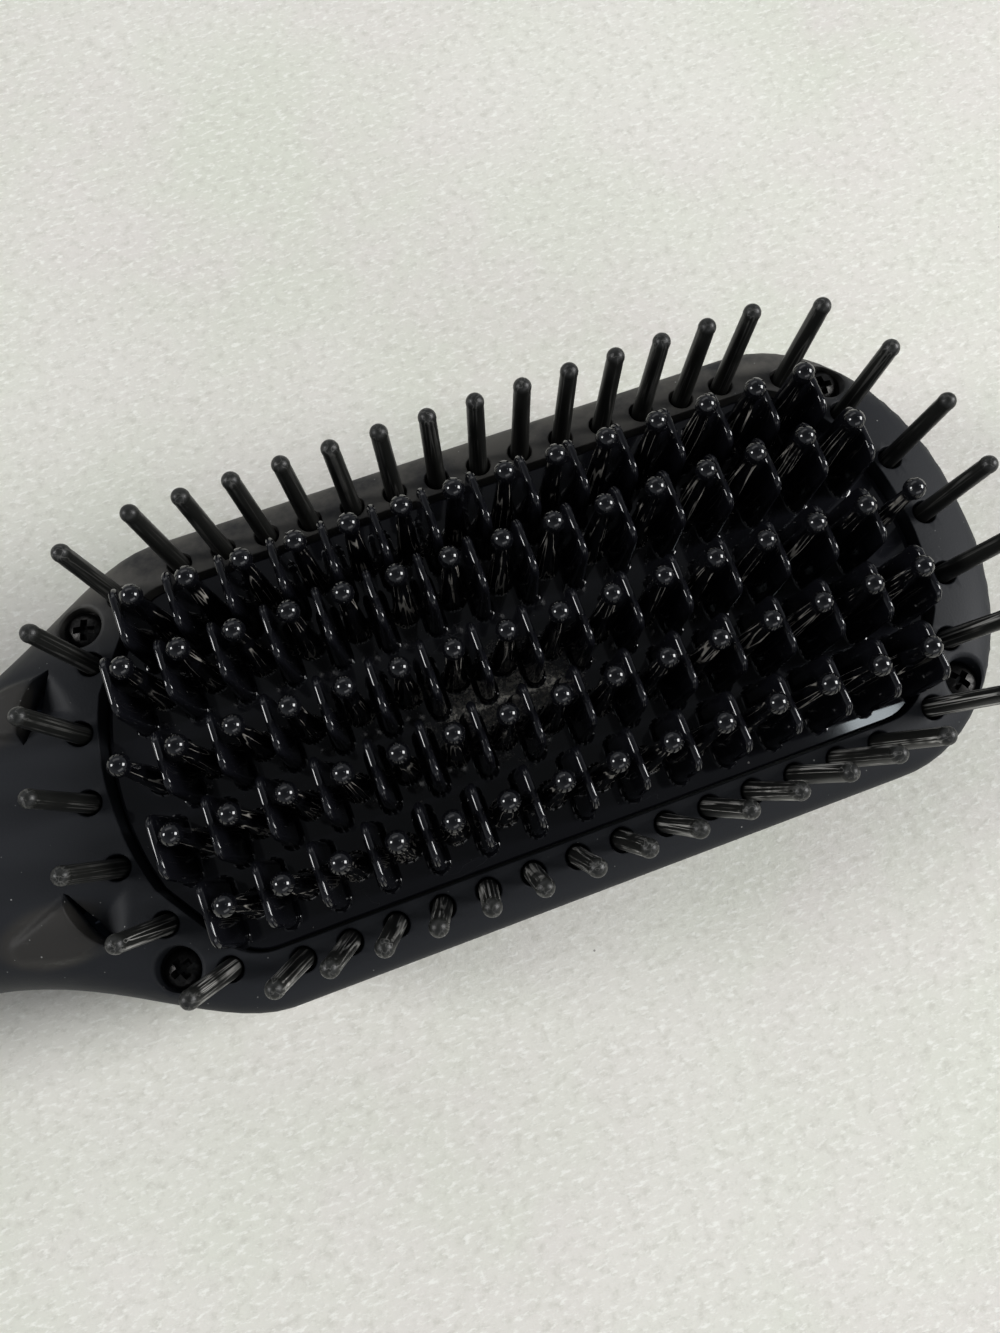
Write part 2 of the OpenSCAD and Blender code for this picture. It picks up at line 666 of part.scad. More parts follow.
shield_t = 1;
shield_gap = 4;
shield_z = clamp_z - shield_gap;
shield_in = 1.3;
lead_way = [6, 8];
module heat_shield() color("#c9b48c") translate([x_mid, 0, shield_z]) difference() {
    linear_extrude(ring_low_z - shield_z) plate_outline(-shield_in);
    translate([0, 0, shield_t]) linear_extrude(far) plate_outline(-shield_in - shield_t);
    // Way out for the leads, at the neck end
    translate([-plate_len / 2, -lead_way[1] / 2, 2 * shield_t]) cube([lead_way[0], lead_way[1], far]);
}

sensor_in = 7.5;
sensor_x = clamp_x + sensor_in;
sensor_d = 2.4;
sensor_len = 5;
fuse_d = 4;
fuse_len = 9;
fuse_lead_d = 1;
fuse_lead_len = 15;
module thermistor() color("#7a4a2a")
    translate([x_mid - sensor_x, 0, plate_foot_z - sensor_d / 2]) rotate([90, 0, 0]) {
        cylinder(d = sensor_d, h = sensor_len, center = true, $fn = small_fn);
        for (s = [-1, 1]) translate([0, 0, s * sensor_len / 2]) sphere(d = sensor_d, $fn = small_fn);
    }
module thermal_fuse() color("#d8d2c4")
    translate([x_mid + sensor_x, 0, plate_foot_z - fuse_d / 2]) rotate([90, 0, 0]) {
        cylinder(d = fuse_d, h = fuse_len, center = true, $fn = small_fn);
        cylinder(d = fuse_lead_d, h = fuse_lead_len, center = true, $fn = small_fn);
    }

module head_screws() color("#3a3a3c") for (p = head_places) translate([p[0], p[1], head_seat(p)])
    screw(head_seat(p) - head_foot(p) - screw_spare, screw_head_t);
module handle_screws() color("#3a3a3c") for (p = handle_places)
    translate([p[0], p[1], handle_seat(p)]) rotate([180, 0, 0])
        screw(seam_z(p[0]) + grip_pilot - screw_spare - handle_seat(p), grip_head_t);

// The needles stand in holders that hang from the scoop pockets, under the slots
emitter_h = 4;
emitter_d = 4.4;
needle_d = 0.8;
needle_tip_d = 0.2;
module ion_emitters() color("#c8c0a8") at_scoops()
    translate([scoop_len - slot_w / 2, 0, -scoop_wall]) {
        translate([emitter_d / 2 - needle_d, 0, -emitter_h])
            cylinder(d = emitter_d, h = emitter_h, $fn = small_fn);
        cylinder(d1 = needle_d, d2 = needle_tip_d, h = scoop_wall, $fn = small_fn);
    }
module ion_generator() color("#2b3a52") {
    translate([ion_x - ion_size[0] / 2, -ion_size[1] / 2, ion_z]) cube(ion_size);
    for (s = [-1, 1])
        translate([ion_x + ion_size[0] / 2, s * ion_pin_step, ion_z + ion_size[2] / 2])
            rotate([0, 90, 0]) cylinder(d = ion_pin_d, h = ion_pin_len, $fn = small_fn);
}

module main_board() color("#1f5a35") difference() {
    translate([board_back, -board_w / 2, board_top - board_t])
        cube([board_front - board_back, board_w, board_t]);
    for (p = board_places) translate([p[0], p[1], board_top - 2 * board_t])
        cylinder(d = screw_d + 2 * fit_gap, h = 3 * board_t, $fn = small_fn);
}
module board_screws() color("#8f9296") for (p = board_places)
    translate([p[0], p[1], board_top])
        screw(board_t + board_pilot - 2 * screw_spare, board_head_t);

switch_foot = 1;
module tact_switches() color("#2a2a2c") for (x = button_x) translate([x, 0, board_top]) difference() {
    translate([-switch_w / 2, -switch_w / 2, 0]) cube([switch_w, switch_w, switch_h]);
    translate([0, 0, switch_foot])
        cylinder(d = plunger_d + 2 * fit_gap, h = switch_h, $fn = small_fn);
}
module plunger(i) color("#d0d0d0") translate([button_x[i], 0, 0]) {
    foot_z = board_top + switch_foot + button_travel + 0.2;
    translate([0, 0, foot_z]) cylinder(d = plunger_d, h = stem_z - foot_z, $fn = small_fn);
}
module button(i) translate([button_x[i], 0, 0]) {
    d = button_d[i];
    z = flange_z(i);
    top = top_z(button_x[i], 0) + button_rise;
    edge = 0.8;
    rotate_extrude() {
        polygon([[0, stem_z], [stem_d / 2, stem_z], [stem_d / 2, z - flange_t],
                 [d / 2 + flange, z - flange_t], [d / 2 + flange, z], [d / 2, z],
                 [d / 2, top - edge], [d / 2 - edge, top], [0, top]]);
        translate([d / 2 - edge, top - edge]) circle(edge, $fn = small_fn);
    }
}
module power_plunger() plunger(1);
module temp_up_plunger() plunger(0);
module temp_down_plunger() plunger(2);
module power_button() color("#2e2e31") button(1);
module temp_up_button() color("#2e2e31") button(0);
module temp_down_button() color("#2e2e31") button(2);

display_top = top_z(window_x, window_w / 2, wall) - 0.4;
module display_module() color("#101418") {
    translate([window_x - window_len / 2 + 1, -window_w / 2 + 0.5, board_top])
        cube([window_len - 2, window_w - 1, display_top - board_top]);
}
module display_window() color("#20242c") intersection() {
    front_outer();
    translate([0, 0, window_floor]) linear_extrude(far) window_outline(-fit_gap);
}

module end_cap() color("#202022") out_of_butt() rotate_extrude() difference() {
    union() {
        square([butt_d / 2, cap_len - cap_edge_r]);
        square([butt_d / 2 - cap_edge_r, cap_len]);
        intersection() {
            translate([butt_d / 2 - cap_edge_r, cap_len - cap_edge_r]) circle(cap_edge_r);
            square([butt_d, cap_len]);
        }
        translate([0, -spigot_len]) square([spigot_d / 2, spigot_len + eps]);
    }
    translate([0, -far]) square([swivel_d / 2 + run_gap, 2 * far]);
    translate([0, -bearing_in - far]) square([pocket_d / 2, far]);
}

module cord_swivel() color("#232325") out_of_butt() rotate_extrude() difference() {
    union() {
        polygon([[0, cap_len + swivel_gap], [collar_d / 2, cap_len + swivel_gap],
                 [collar_d / 2, cap_len + swivel_gap + 3], [collar_end_d / 2, cap_len + swivel_reach],
                 [0, cap_len + swivel_reach]]);
        translate([0, head_low]) square([swivel_d / 2, cap_len + swivel_gap - head_low + eps]);
        translate([0, head_low - spindle_len]) square([spindle_d / 2, spindle_len + eps]);
    }
    translate([groove_d / 2, groove_low]) square([swivel_d, washer_t + fit_gap]);
    translate([0, -far]) square([cord_bore_d / 2, 2 * far]);
}
module swivel_washer() color("#a8abb0") out_of_butt() rotate_extrude() difference() {
    translate([0, groove_low + fit_gap / 2]) square([washer_d / 2, washer_t]);
    translate([0, -far]) square([groove_d / 2 + run_gap, 2 * far]);
}
module slip_rings() color("#c9a24a") out_of_butt() for (z = ring_places)
    rotate_extrude() difference() {
        translate([0, z]) square([ring_d / 2, ring_t]);
        translate([0, -far]) square([spindle_d / 2 + run_gap, 2 * far]);
    }
module contact_springs() color("#c98a4a") for (x = [contact_x, contact_x2])
    translate([x, 0, contact_z + contact_t]) intersection() {
        rotate([0, 90, 0]) difference() {
            cylinder(r = contact_r, h = ring_t - 0.6, center = true);
            cylinder(r = contact_r - 0.35, h = ring_t, center = true);
        }
        translate([-ring_t, -far / 2, 0]) cube([2 * ring_t, far, far]);
    }
module contact_block() color("#4a4a4e")
    translate([contact_x - contact_end, -contact_w / 2, contact_z])
        cube([contact_x2 - contact_x + 2 * contact_end, contact_w, contact_t]);

front_housing();
rear_housing();
heater_plate();
bristle_frame();
ceramic_heaters();
heater_clamp();
clamp_screws();
heat_shield();
thermistor();
thermal_fuse();
head_screws();
handle_screws();
ion_emitters();
ion_generator();
main_board();
board_screws();
tact_switches();
power_plunger();
temp_up_plunger();
temp_down_plunger();
display_module();
display_window();
power_button();
temp_up_button();
temp_down_button();
end_cap();
cord_swivel();
swivel_washer();
slip_rings();
contact_springs();
contact_block();
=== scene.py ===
# %% [markdown]
# # A heated straightening brush
# The brush lies on its back on a pale table with its bristles up. Its working side is a black coated
# casting with rows of fins and ball-tipped pins, ringed by nylon bristles that come up through a soft
# black face. The housings, the casting, the bristles and the controls are modelled here round the
# measured parts of the CAD model, and everything is given its finish.

# %% Start from the measured parts
import math
import bmesh
import bpy
from mathutils import Matrix, Vector
from mathutils.geometry import delaunay_2d_cdt


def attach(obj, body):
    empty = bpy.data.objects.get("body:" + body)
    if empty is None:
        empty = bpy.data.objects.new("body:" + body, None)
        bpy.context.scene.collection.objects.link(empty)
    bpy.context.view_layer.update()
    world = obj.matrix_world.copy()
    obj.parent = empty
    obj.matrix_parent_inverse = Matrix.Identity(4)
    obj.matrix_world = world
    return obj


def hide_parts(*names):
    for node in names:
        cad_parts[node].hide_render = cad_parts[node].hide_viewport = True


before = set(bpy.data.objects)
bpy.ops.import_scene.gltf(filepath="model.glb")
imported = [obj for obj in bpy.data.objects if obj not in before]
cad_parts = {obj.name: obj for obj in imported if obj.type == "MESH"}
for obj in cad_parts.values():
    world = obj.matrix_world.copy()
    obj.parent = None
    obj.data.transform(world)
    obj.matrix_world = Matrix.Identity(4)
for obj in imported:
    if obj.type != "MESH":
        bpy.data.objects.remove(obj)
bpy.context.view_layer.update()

# %% [markdown]
# ## Sizes
# Modelling is done in millimetres, with the names that a maker would use on a drawing, and each piece
# is scaled to metres when it is finished. X runs along the brush to its tip, Y across it and Z up.

# %% Sizes in millimetres
MM = 0.001
PITCH, ROW_PITCH, ROW_SHIFT = 6.2, 8.74, 1.3
FIN_LEN, FIN_H, FIN_T, FIN_TOP_T, FIN_CORNER = 8.4, 11.8, 2.0, 0.9, 1.9
BALL_H, BALL_D, PIN_FOOT_D, PIN_NECK_D = 16.1, 2.6, 3.0, 1.6
PLATE_L, PLATE_W, PLATE_T, PLATE_SINK = 103.6, 45.5, 3.1, 1.5
BOW_R, CORNER_R, BOW_DEG, CUT_DEG = 36.0, 6.0, 19.6, 34.0
GAP, WALL, SLIDE = 0.6, 2.0, 0.35
HEAD_W, NOSE_L, SEAM_Z, FACE_RISE = 60.6, 21.7, 18.0, 6.7
NECK_L, GRIP_L, GRIP_W, GRIP_H, BUTT_D = 52.0, 112.0, 31.0, 28.0, 27.0
X_TIP = 142.85
X_MID, X_NOSE, X_SHOULDER = X_TIP - 61.7, X_TIP - NOSE_L, X_TIP - 101.7
X_NECK = X_SHOULDER - NECK_L
X_BUTT = X_NECK - GRIP_L
GRIP_Z = GRIP_H / 2 + 0.4
BRISTLE_H, BRISTLE_FOOT_D, LEAN_DEG = 15.0, 2.4, 6.8
SCREW_X, SCREW_Y, SCREW_HEAD_D = 50.7, 21.56, 4.6


def smooth(t):
    c = min(1.0, max(0.0, t))
    return c * c * (3 - 2 * c)


def mix(a, b, t):
    return a + (b - a) * t


# %% [markdown]
# ## The skin of the housings
# Each cross-section of the housings is an arch over the parting line and another one under it. The
# arch is round on the grip and turns into a flat-topped one on the head. The same few formulas as in
# the CAD model give it at any place, so the skin can be as fine as the light needs.

# %% The arches along the brush
def neck_at(x):
    return min(1.0, max(0.0, (x - X_NECK) / NECK_L))


def grip_half(size, x):
    return mix(size, BUTT_D, smooth((X_NECK - x) / GRIP_L)) / 2


def seam_z(x):
    return mix(GRIP_Z, SEAM_Z, smooth(neck_at(x)))


# %% [markdown]
# Two low hoods stand on the neck, each with a curved opening that faces the bristles and a hollow like
# a spoon that leads under it. They are soft swellings of the skin, so they are a height that is added
# to it: a hood grows from its blunt tip to its rim, and the hollow falls away from that same rim.

# %% Hoods and hollows of the air scoops
HOOD_TIP_X, HOOD_TIP_Y, HOOD_TIP_R, HOOD_RISE, HOOD_EDGE = 13.2, 13.7, 1.9, 1.1, 1.05
HOOD_FLARE, HOOD_INNER_Y, HOOD_OUTER_Y, HOOD_LOW_SHARE = 6.5, 9.1, 17.3, 0.4
RIM_X, RIM_Y, RIM_R, HOLLOW, HOLLOW_WALL, HOLLOW_END = 29.3, 9.9, 8.2, 2.2, 0.9, 4.4
HEADING, RIM_FROM, RIM_TO = (math.radians(a) for a in (28, -34, 37))


def relief(x, y):
    """Height of the hoods over the plain skin, and depth of the hollows that lead under them."""
    dx, y = RIM_X - x, abs(y)
    r = math.hypot(dx, y - RIM_Y)
    if r < RIM_R:
        a = math.atan2(y - RIM_Y, dx) - HEADING
        ends = smooth(r * min(a - RIM_FROM, RIM_TO - a) / HOLLOW_END)
        return -HOLLOW * ends * smooth(r / (RIM_R - HOLLOW_WALL))
    past_tip = x - HOOD_TIP_X - HOOD_TIP_R
    run = max(0.0, past_tip / HOOD_FLARE)
    inner = mix(HOOD_TIP_Y - HOOD_TIP_R, HOOD_INNER_Y, run)
    outer = mix(HOOD_TIP_Y + HOOD_TIP_R, HOOD_OUTER_Y, smooth(0.5 + min(run, 1.0) / 2) * 2 - 1)
    edge = min(y - inner, outer - y)
    if past_tip < 0:
        edge = min(edge, HOOD_TIP_R - math.hypot(past_tip, y - HOOD_TIP_Y))
    if edge <= 0 or x > RIM_X:
        return 0.0
    share = (x - HOOD_TIP_X) / (x - HOOD_TIP_X + r - RIM_R)
    return HOOD_RISE * mix(HOOD_LOW_SHARE, 1.0, smooth(share)) * smooth(edge / HOOD_EDGE)


# %% A skin over the arches
FACE_POWER, BACK_POWER, NECK_POWER = 4.0, 2.8, 1.7  # how square the arches are, how late the neck widens
SHY, POLE = 0.02, 1.5533  # the nose ends this short of its full length, and of a right angle
REST_R, BACK_DIP = 0.12, 0.5  # softness with which the back flattens on the table, and by how much
FLOOR_RUN = 1.6  # how early along the neck the inner skin drops away under the face


class Skin:
    """The upper (side 1) or lower (side -1) skin of the housings, drawn in by g."""

    def __init__(self, side, g=0.0, floor=0.0):
        self.side, self.g, self.floor = side, g, floor
        self.rise = FACE_RISE if side > 0 else SEAM_Z + BACK_DIP
        self.power = FACE_POWER if side > 0 else BACK_POWER
        self.nose = NOSE_L - SHY - g

    def station(self, u):
        """Place along the brush, and half width, height and power of the arch there."""
        t = 0.0
        x = u
        if u > X_NOSE:
            t = math.sin(min(POLE, (u - X_NOSE) / self.nose))
            x = X_NOSE + self.nose * t
        k = neck_at(x)
        w = (mix(grip_half(GRIP_W, x), HEAD_W / 2, smooth(k ** NECK_POWER)) - self.g) * math.sqrt(1 - t * t)
        h = mix(grip_half(GRIP_H, x), self.rise, smooth(k)) - self.g - self.floor * smooth(FLOOR_RUN * k)
        h *= (1 - t ** self.power) ** (1 / self.power)
        return x, w, h, mix(2.0, self.power, smooth(k))

    def place(self, u, v):
        """Point of the skin at a point of its flat pattern."""
        x, w, h, n = self.station(u)
        a = math.pi / 2 - v / w
        c, s = math.cos(a), max(0.0, math.sin(a))
        r = (abs(c) ** n + s ** n) ** (-1 / n)
        z = seam_z(x) + self.side * h * r * s
        if self.side < 0 and self.g == 0:
            z = (z + math.hypot(z, REST_R)) / 2
        if self.side > 0 and self.g == 0:
            z += relief(x, w * r * c)
        return Vector((x, w * r * c, z))

    def flat(self, x, y):
        """Point of the flat pattern over a place of the brush."""
        u = x
        if x > X_NOSE:
            u = X_NOSE + self.nose * math.asin(min(1.0, (x - X_NOSE) / self.nose))
        _, w, _, n = self.station(u)
        c = max(-1.0, min(1.0, y / w))
        return u, w * (math.pi / 2 - math.atan2((1 - abs(c) ** n) ** (1 / n), c))

    def over(self, x, y):
        """Height of the skin over a place of the brush."""
        return self.place(*self.flat(x, y)).z


top, top_in = Skin(1), Skin(1, WALL, 1.6)
low, low_in = Skin(-1), Skin(-1, WALL)
FACE_Z = top.over(X_MID, PLATE_W / 2 + GAP)
PLATE_Z = FACE_Z - PLATE_SINK
PLATE_FOOT = PLATE_Z - PLATE_T
print("face at", round(FACE_Z, 2), "plate at", round(PLATE_Z, 2), "parting line", SEAM_Z)

# %% [markdown]
# ## Helpers for a finished piece
# A piece is made in millimetres as one bmesh. Finishing it merges doubles, points its faces outwards,
# scales it to metres, shades it smooth with crisp edges left where faces meet sharply, and ties it to
# its body. Weighted normals keep the large faces of a housing even right up to their rims.

# %% Finish a piece
SCENE = bpy.context.scene.collection


def finish_piece(bm, name, body, material, nodes=(), crisp=38.0, weighted=True):
    bmesh.ops.remove_doubles(bm, verts=bm.verts, dist=0.0008)
    bmesh.ops.recalc_face_normals(bm, faces=bm.faces)
    bmesh.ops.scale(bm, vec=(MM, MM, MM), verts=bm.verts)
    mesh = bpy.data.meshes.new(name)
    bm.to_mesh(mesh)
    bm.free()
    mesh.shade_smooth()
    mesh.set_sharp_from_angle(angle=math.radians(crisp))
    mesh.materials.append(material)
    piece = bpy.data.objects.new(name, mesh)
    SCENE.objects.link(piece)
    if weighted:
        even = piece.modifiers.new("even shading", "WEIGHTED_NORMAL")
        even.keep_sharp = True
    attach(piece, body)
    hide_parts(*nodes)
    print(f"{name}: {len(mesh.polygons)} faces on {body}")


# %% [markdown]
# Most pieces grow from a closed ring of vertices that is extruded to new places again and again, as a
# potter builds with coils. The same step rounds a rim, drops a wall or stacks a fin.

# %% Rings and stacks
def ring_edges(bm, ring):
    """Edges between neighbours of a closed ring of vertices."""
    return [bm.edges.get(pair) or bm.edges.new(pair) for pair in zip(ring, ring[1:] + ring[:1])]


def pull(bm, ring, places):
    """Extrudes a closed ring of vertices to new places and returns the new ring."""
    made = bmesh.ops.extrude_edge_only(bm, edges=ring_edges(bm, ring))["geom"]
    new = {v for v in made if isinstance(v, bmesh.types.BMVert)}
    out = []
    for old, place in zip(ring, places):
        v = next(e.other_vert(old) for e in old.link_edges if e.other_vert(old) in new)
        v.co = place
        out.append(v)
    return out


def loop(bm, places):
    """A closed ring of vertices and edges."""
    ring = [bm.verts.new(p) for p in places]
    for a, b in zip(ring, ring[1:] + ring[:1]):
        bm.edges.new((a, b))
    return ring


def stack(bm, rings):
    """A body from rings of the same count, one above the other, closed at both ends."""
    ring = loop(bm, rings[0])
    bm.faces.new(ring)
    for places in rings[1:]:
        ring = pull(bm, ring, places)
    bm.faces.new(ring)


def circle(r, count, cx=0.0, cy=0.0, z=0.0):
    turns = [2 * math.pi * k / count for k in range(count)]
    return [Vector((cx + r * math.cos(a), cy + r * math.sin(a), z)) for a in turns]


# %% [markdown]
# A wide skin with dozens of holes is hard to cover by hand with even faces. Blender can fill a flat
# pattern between outlines with triangles (a constrained Delaunay triangulation), so the skin is laid
# flat, filled with evenly spread points, and lifted to its place afterwards.

# %% Even triangles between outlines
def inside_ring(x, y, ring):
    """Whether a point of the flat pattern lies inside a closed ring."""
    inside = False
    for a, b in zip(ring, ring[1:] + ring[:1]):
        if (a[1] > y) != (b[1] > y) and x < a[0] + (b[0] - a[0]) * (y - a[1]) / (b[1] - a[1]):
            inside = not inside
    return inside


def sheet(bm, border, holes, inner, lift):
    """Covers a flat pattern between its border and its holes with even triangles, and lifts it."""
    points, loops = [], []
    for ring in [border, *holes]:
        loops.append(list(range(len(points), len(points) + len(ring))))
        points += ring
    edges = [pair for ids in loops for pair in zip(ids, ids[1:] + ids[:1])]
    flat = [Vector(p[:2]) for p in points + inner]
    verts, _, faces, ids, _, _ = delaunay_2d_cdt(flat, edges, [], 0, 1e-5, True)
    made = [bm.verts.new(lift(p)) for p in verts]
    at = {i: made[k] for k, group in enumerate(ids) for i in group}
    ring_of = {i: k for k, loop_ids in enumerate(loops) for i in loop_ids}
    for face in faces:
        on = {ring_of.get(ids[k][0]) for k in face}
        ring = on.pop() if len(on) == 1 else None
        if ring is not None:
            x, y = (sum(verts[k][axis] for k in face) / 3 for axis in (0, 1))
            if inside_ring(x, y, [border, *holes][ring]) == (ring > 0):
                continue
        bm.faces.new([made[k] for k in face])
    return [[at[i] for i in ring] for ring in loops]


def filling(border_at, step, x0, x1, holes, room):
    """Points in rows inside the border, clear of the holes."""
    out = []
    rows = int((x1 - x0) / step)
    for i in range(1, rows):
        u = mix(x0, x1, i / rows)
        half = border_at(u) - room
        n = max(1, round(2 * half / step))
        for j in range(n + 1):
            p = Vector((u, half * (2 * (j + 0.5 * (i % 2)) / n - 1)))
            if p.y <= half and not any(near(p, ring, room) for ring in holes):
                out.append(p)
    return out


def near(p, ring, room):
    """Whether a point lies inside a ring, or within a little room of it."""
    pts, (cx, cy, reach) = ring
    if (p.x - cx) ** 2 + (p.y - cy) ** 2 > (reach + room) ** 2:
        return False
    best = 1e9
    for a, b in zip(pts, pts[1:] + pts[:1]):
        d = (b[0] - a[0], b[1] - a[1])
        q = (p.x - a[0], p.y - a[1])
        t = max(0.0, min(1.0, (q[0] * d[0] + q[1] * d[1]) / max(1e-9, d[0] ** 2 + d[1] ** 2)))
        best = min(best, math.hypot(q[0] - t * d[0], q[1] - t * d[1]))
    return best < room or inside_ring(p.x, p.y, pts)


def with_reach(pts):
    """A ring with its middle and reach, so that far points are told apart quickly."""
    cx, cy = sum(p[0] for p in pts) / len(pts), sum(p[1] for p in pts) / len(pts)
    return pts, (cx, cy, max(math.hypot(p[0] - cx, p[1] - cy) for p in pts))


# %% [markdown]
# ## Camera, table and light
# The camera stands where the photograph was taken from: almost straight above the head, a little
# toward its near edge. Its place and turn were fitted to the balls of the pins in the photograph.

# %% Camera
FOCAL_PX, FRAME_PX, SENSOR = 1006.77, 1333, 36
camera_data = bpy.data.cameras.new("camera")
camera_data.lens = SENSOR * FOCAL_PX / FRAME_PX
camera = bpy.data.objects.new("camera", camera_data)
camera.location = (0.06503, -0.02469, 0.14507)
turn = Matrix(((0.93869905, -0.34360322, 0.02794486),
               (-0.32990002, -0.9188665, -0.21644935),
               (0.10005029, 0.19396179, -0.97589383)))
camera.rotation_euler = (turn.transposed() @ Matrix.Diagonal((1, -1, -1))).to_euler()
SCENE.objects.link(camera)
bpy.context.scene.camera = camera
camera_data.clip_start = 0.005


# %% [markdown]
# A material is a web of nodes, and wiring sums by hand hides what they mean. Sock wraps one socket, so
# that a formula on it adds the Math nodes by itself, and Finish holds one material with the patterns
# that several finishes share: noise, round dots, a soft ellipsoid and a stretch.

# %% Shader helper
class Sock:
    """A socket with arithmetic: an expression on it adds the Math nodes."""

    def __init__(self, nodes, socket):
        self.nodes, self.socket = nodes, socket

    def math(self, kind, *others, clamp=False):
        n = self.nodes.tree.nodes.new("ShaderNodeMath")
        n.operation, n.use_clamp = kind, clamp
        for slot, value in zip(n.inputs, (self, *others)):
            self.nodes.put(slot, value)
        return Sock(self.nodes, n.outputs[0])

    def __add__(self, o): return self.math("ADD", o)
    def __radd__(self, o): return self.math("ADD", o)
    def __sub__(self, o): return self.math("SUBTRACT", o)
    def __rsub__(self, o): return self.math("MULTIPLY_ADD", -1.0, o)
    def __mul__(self, o): return self.math("MULTIPLY", o)
    def __rmul__(self, o): return self.math("MULTIPLY", o)
    def __gt__(self, o): return self.math("GREATER_THAN", o)

    def ramp(self, low, high):
        """0 below low, 1 above high and smooth between them."""
        return self.nodes.node("ShaderNodeMapRange", {"interpolation_type": "SMOOTHSTEP"},
                               Value=self, From_Min=low, From_Max=high)["Result"]


class Finish:
    """A material's nodes. node() makes one of any kind: its settings first, then its sockets."""

    def __init__(self, name, **constants):
        self.material = bpy.data.materials.new(name)
        self.material.use_nodes = True
        self.tree = self.material.node_tree
        self.shader = self.tree.nodes["Principled BSDF"]
        self.where = self.node("ShaderNodeTexCoord")["Object"]
        self.feed(**constants)

    def put(self, socket, value):
        if isinstance(value, Sock):
            self.tree.links.new(value.socket, socket)
        elif isinstance(value, (tuple, list)) and len(value) == 3 and socket.type == "RGBA":
            socket.default_value = (*value, 1.0)
        else:
            socket.default_value = value

    def node(self, kind, settings=None, **values):
        n = self.tree.nodes.new(kind)
        for key, value in (settings or {}).items():
            setattr(n, key, value)
        for key, value in values.items():
            self.put(n.inputs[key.replace("_", " ")], value)
        return {o.name: Sock(self, o) for o in n.outputs if o.enabled}

    def feed(self, **values):
        for key, value in values.items():
            self.put(self.shader.inputs[key.replace("_", " ")], value)

    def noise(self, scale, detail=3.0, rough=0.5, where=None):
        return self.node("ShaderNodeTexNoise", None, Vector=where or self.where, Scale=scale,
                         Detail=detail, Roughness=rough)["Fac"]

    def tint(self, a, b, factor):
        n = self.tree.nodes.new("ShaderNodeMix")
        n.data_type = "RGBA"
        for socket, value in zip((n.inputs[0], n.inputs[6], n.inputs[7]), (factor, a, b)):
            self.put(socket, value)
        return Sock(self, n.outputs[2])

    def parts(self, vector):
        """X, Y and Z of a vector."""
        return self.node("ShaderNodeSeparateXYZ", None, Vector=vector)

    def ellipsoid(self, middle, half_sizes):
        """1 in the middle of an ellipsoid, 0 outside it."""
        scale = tuple(1 / h for h in half_sizes)
        shift = tuple(-m / h for m, h in zip(middle, half_sizes))
        where = self.node("ShaderNodeMapping", None, Vector=self.where, Scale=scale, Location=shift)["Vector"]
        length = self.node("ShaderNodeVectorMath", {"operation": "LENGTH"}, Vector=where)["Value"]
        return 1.0 - length.ramp(0.0, 1.0)

    def dots(self, scale, radius, rare):
        """Scattered round dots: fewer of them where rare is nearer 1."""
        cells = self.node("ShaderNodeTexVoronoi", None, Vector=self.where, Scale=scale)
        picked = cells["Color"] > rare
        return picked * (1.0 - cells["Distance"].ramp(0.6 * radius, radius))

    def stretch(self, *scale):
        return self.node("ShaderNodeMapping", None, Vector=self.where, Scale=scale)["Vector"]

    def bump(self, height, distance, strength=1.0):
        return self.node("ShaderNodeBump", None, Height=height, Distance=distance,
                         Strength=strength)["Normal"]


# %% [markdown]
# The table is a pale, slightly warm felted board with a few dark specks. The light is soft and plain:
# one square lamp on each side, a wide weak one beyond each long side, and a small one that only shows
# as a pale patch in the bare strip of the plate, where the photograph has it.

# %% Table and light
def flat_board(name, half, z, material):
    bm = bmesh.new()
    bmesh.ops.create_grid(bm, x_segments=2, y_segments=2, size=half)
    bmesh.ops.translate(bm, verts=bm.verts, vec=(0, 0, z))
    mesh = bpy.data.meshes.new(name)
    bm.to_mesh(mesh)
    bm.free()
    mesh.materials.append(material)
    board = bpy.data.objects.new(name, mesh)
    SCENE.objects.link(board)


paper = Finish("pale_board", Roughness=0.9, Specular_IOR_Level=0.1)
cloud = paper.noise(16.0, 3.0)
tinge = paper.noise(34.0, 4.0, 0.6)
felt = paper.noise(640.0, 4.0, 0.7, paper.stretch(0.8, 1.0, 1.0))
fibre = paper.noise(1500.0, 3.0, 0.65, paper.stretch(0.45, 1.0, 1.0))
specks = paper.dots(55.0, 0.011, 0.70) + paper.dots(150.0, 0.02, 0.79)
tone = paper.tint((0.650, 0.660, 0.578), (0.680, 0.648, 0.608), tinge.ramp(0.35, 0.65))
tone = paper.tint(tone, (0.73, 0.72, 0.66), cloud.ramp(0.3, 0.7) * 0.7)
tone = paper.tint(tone, (0.50, 0.49, 0.43), felt.ramp(0.46, 0.72) * 0.5)
tone = paper.tint(tone, (0.88, 0.88, 0.83), fibre.ramp(0.50, 0.70) * 0.6)
paper.feed(Base_Color=paper.tint(tone, (0.16, 0.15, 0.14), specks * 0.75),
           Normal=paper.bump(felt + fibre * 0.6, 0.0003, 0.4))
flat_board("table", 3.0, 0.0, paper.material)


def lamp(name, place, size, radiance, aim=(0.08, 0, 0.02)):
    """A square lamp that looks as bright as radiance says from every side in front of it."""
    data = bpy.data.lights.new(name, "AREA")
    data.shape, data.size, data.size_y = "RECTANGLE", size[0], size[1]
    data.energy = math.pi * size[0] * size[1] * radiance
    obj = bpy.data.objects.new(name, data)
    obj.location = place
    obj.rotation_euler = (Vector(aim) - Vector(place)).to_track_quat("-Z", "Y").to_euler()
    SCENE.objects.link(obj)
    return obj


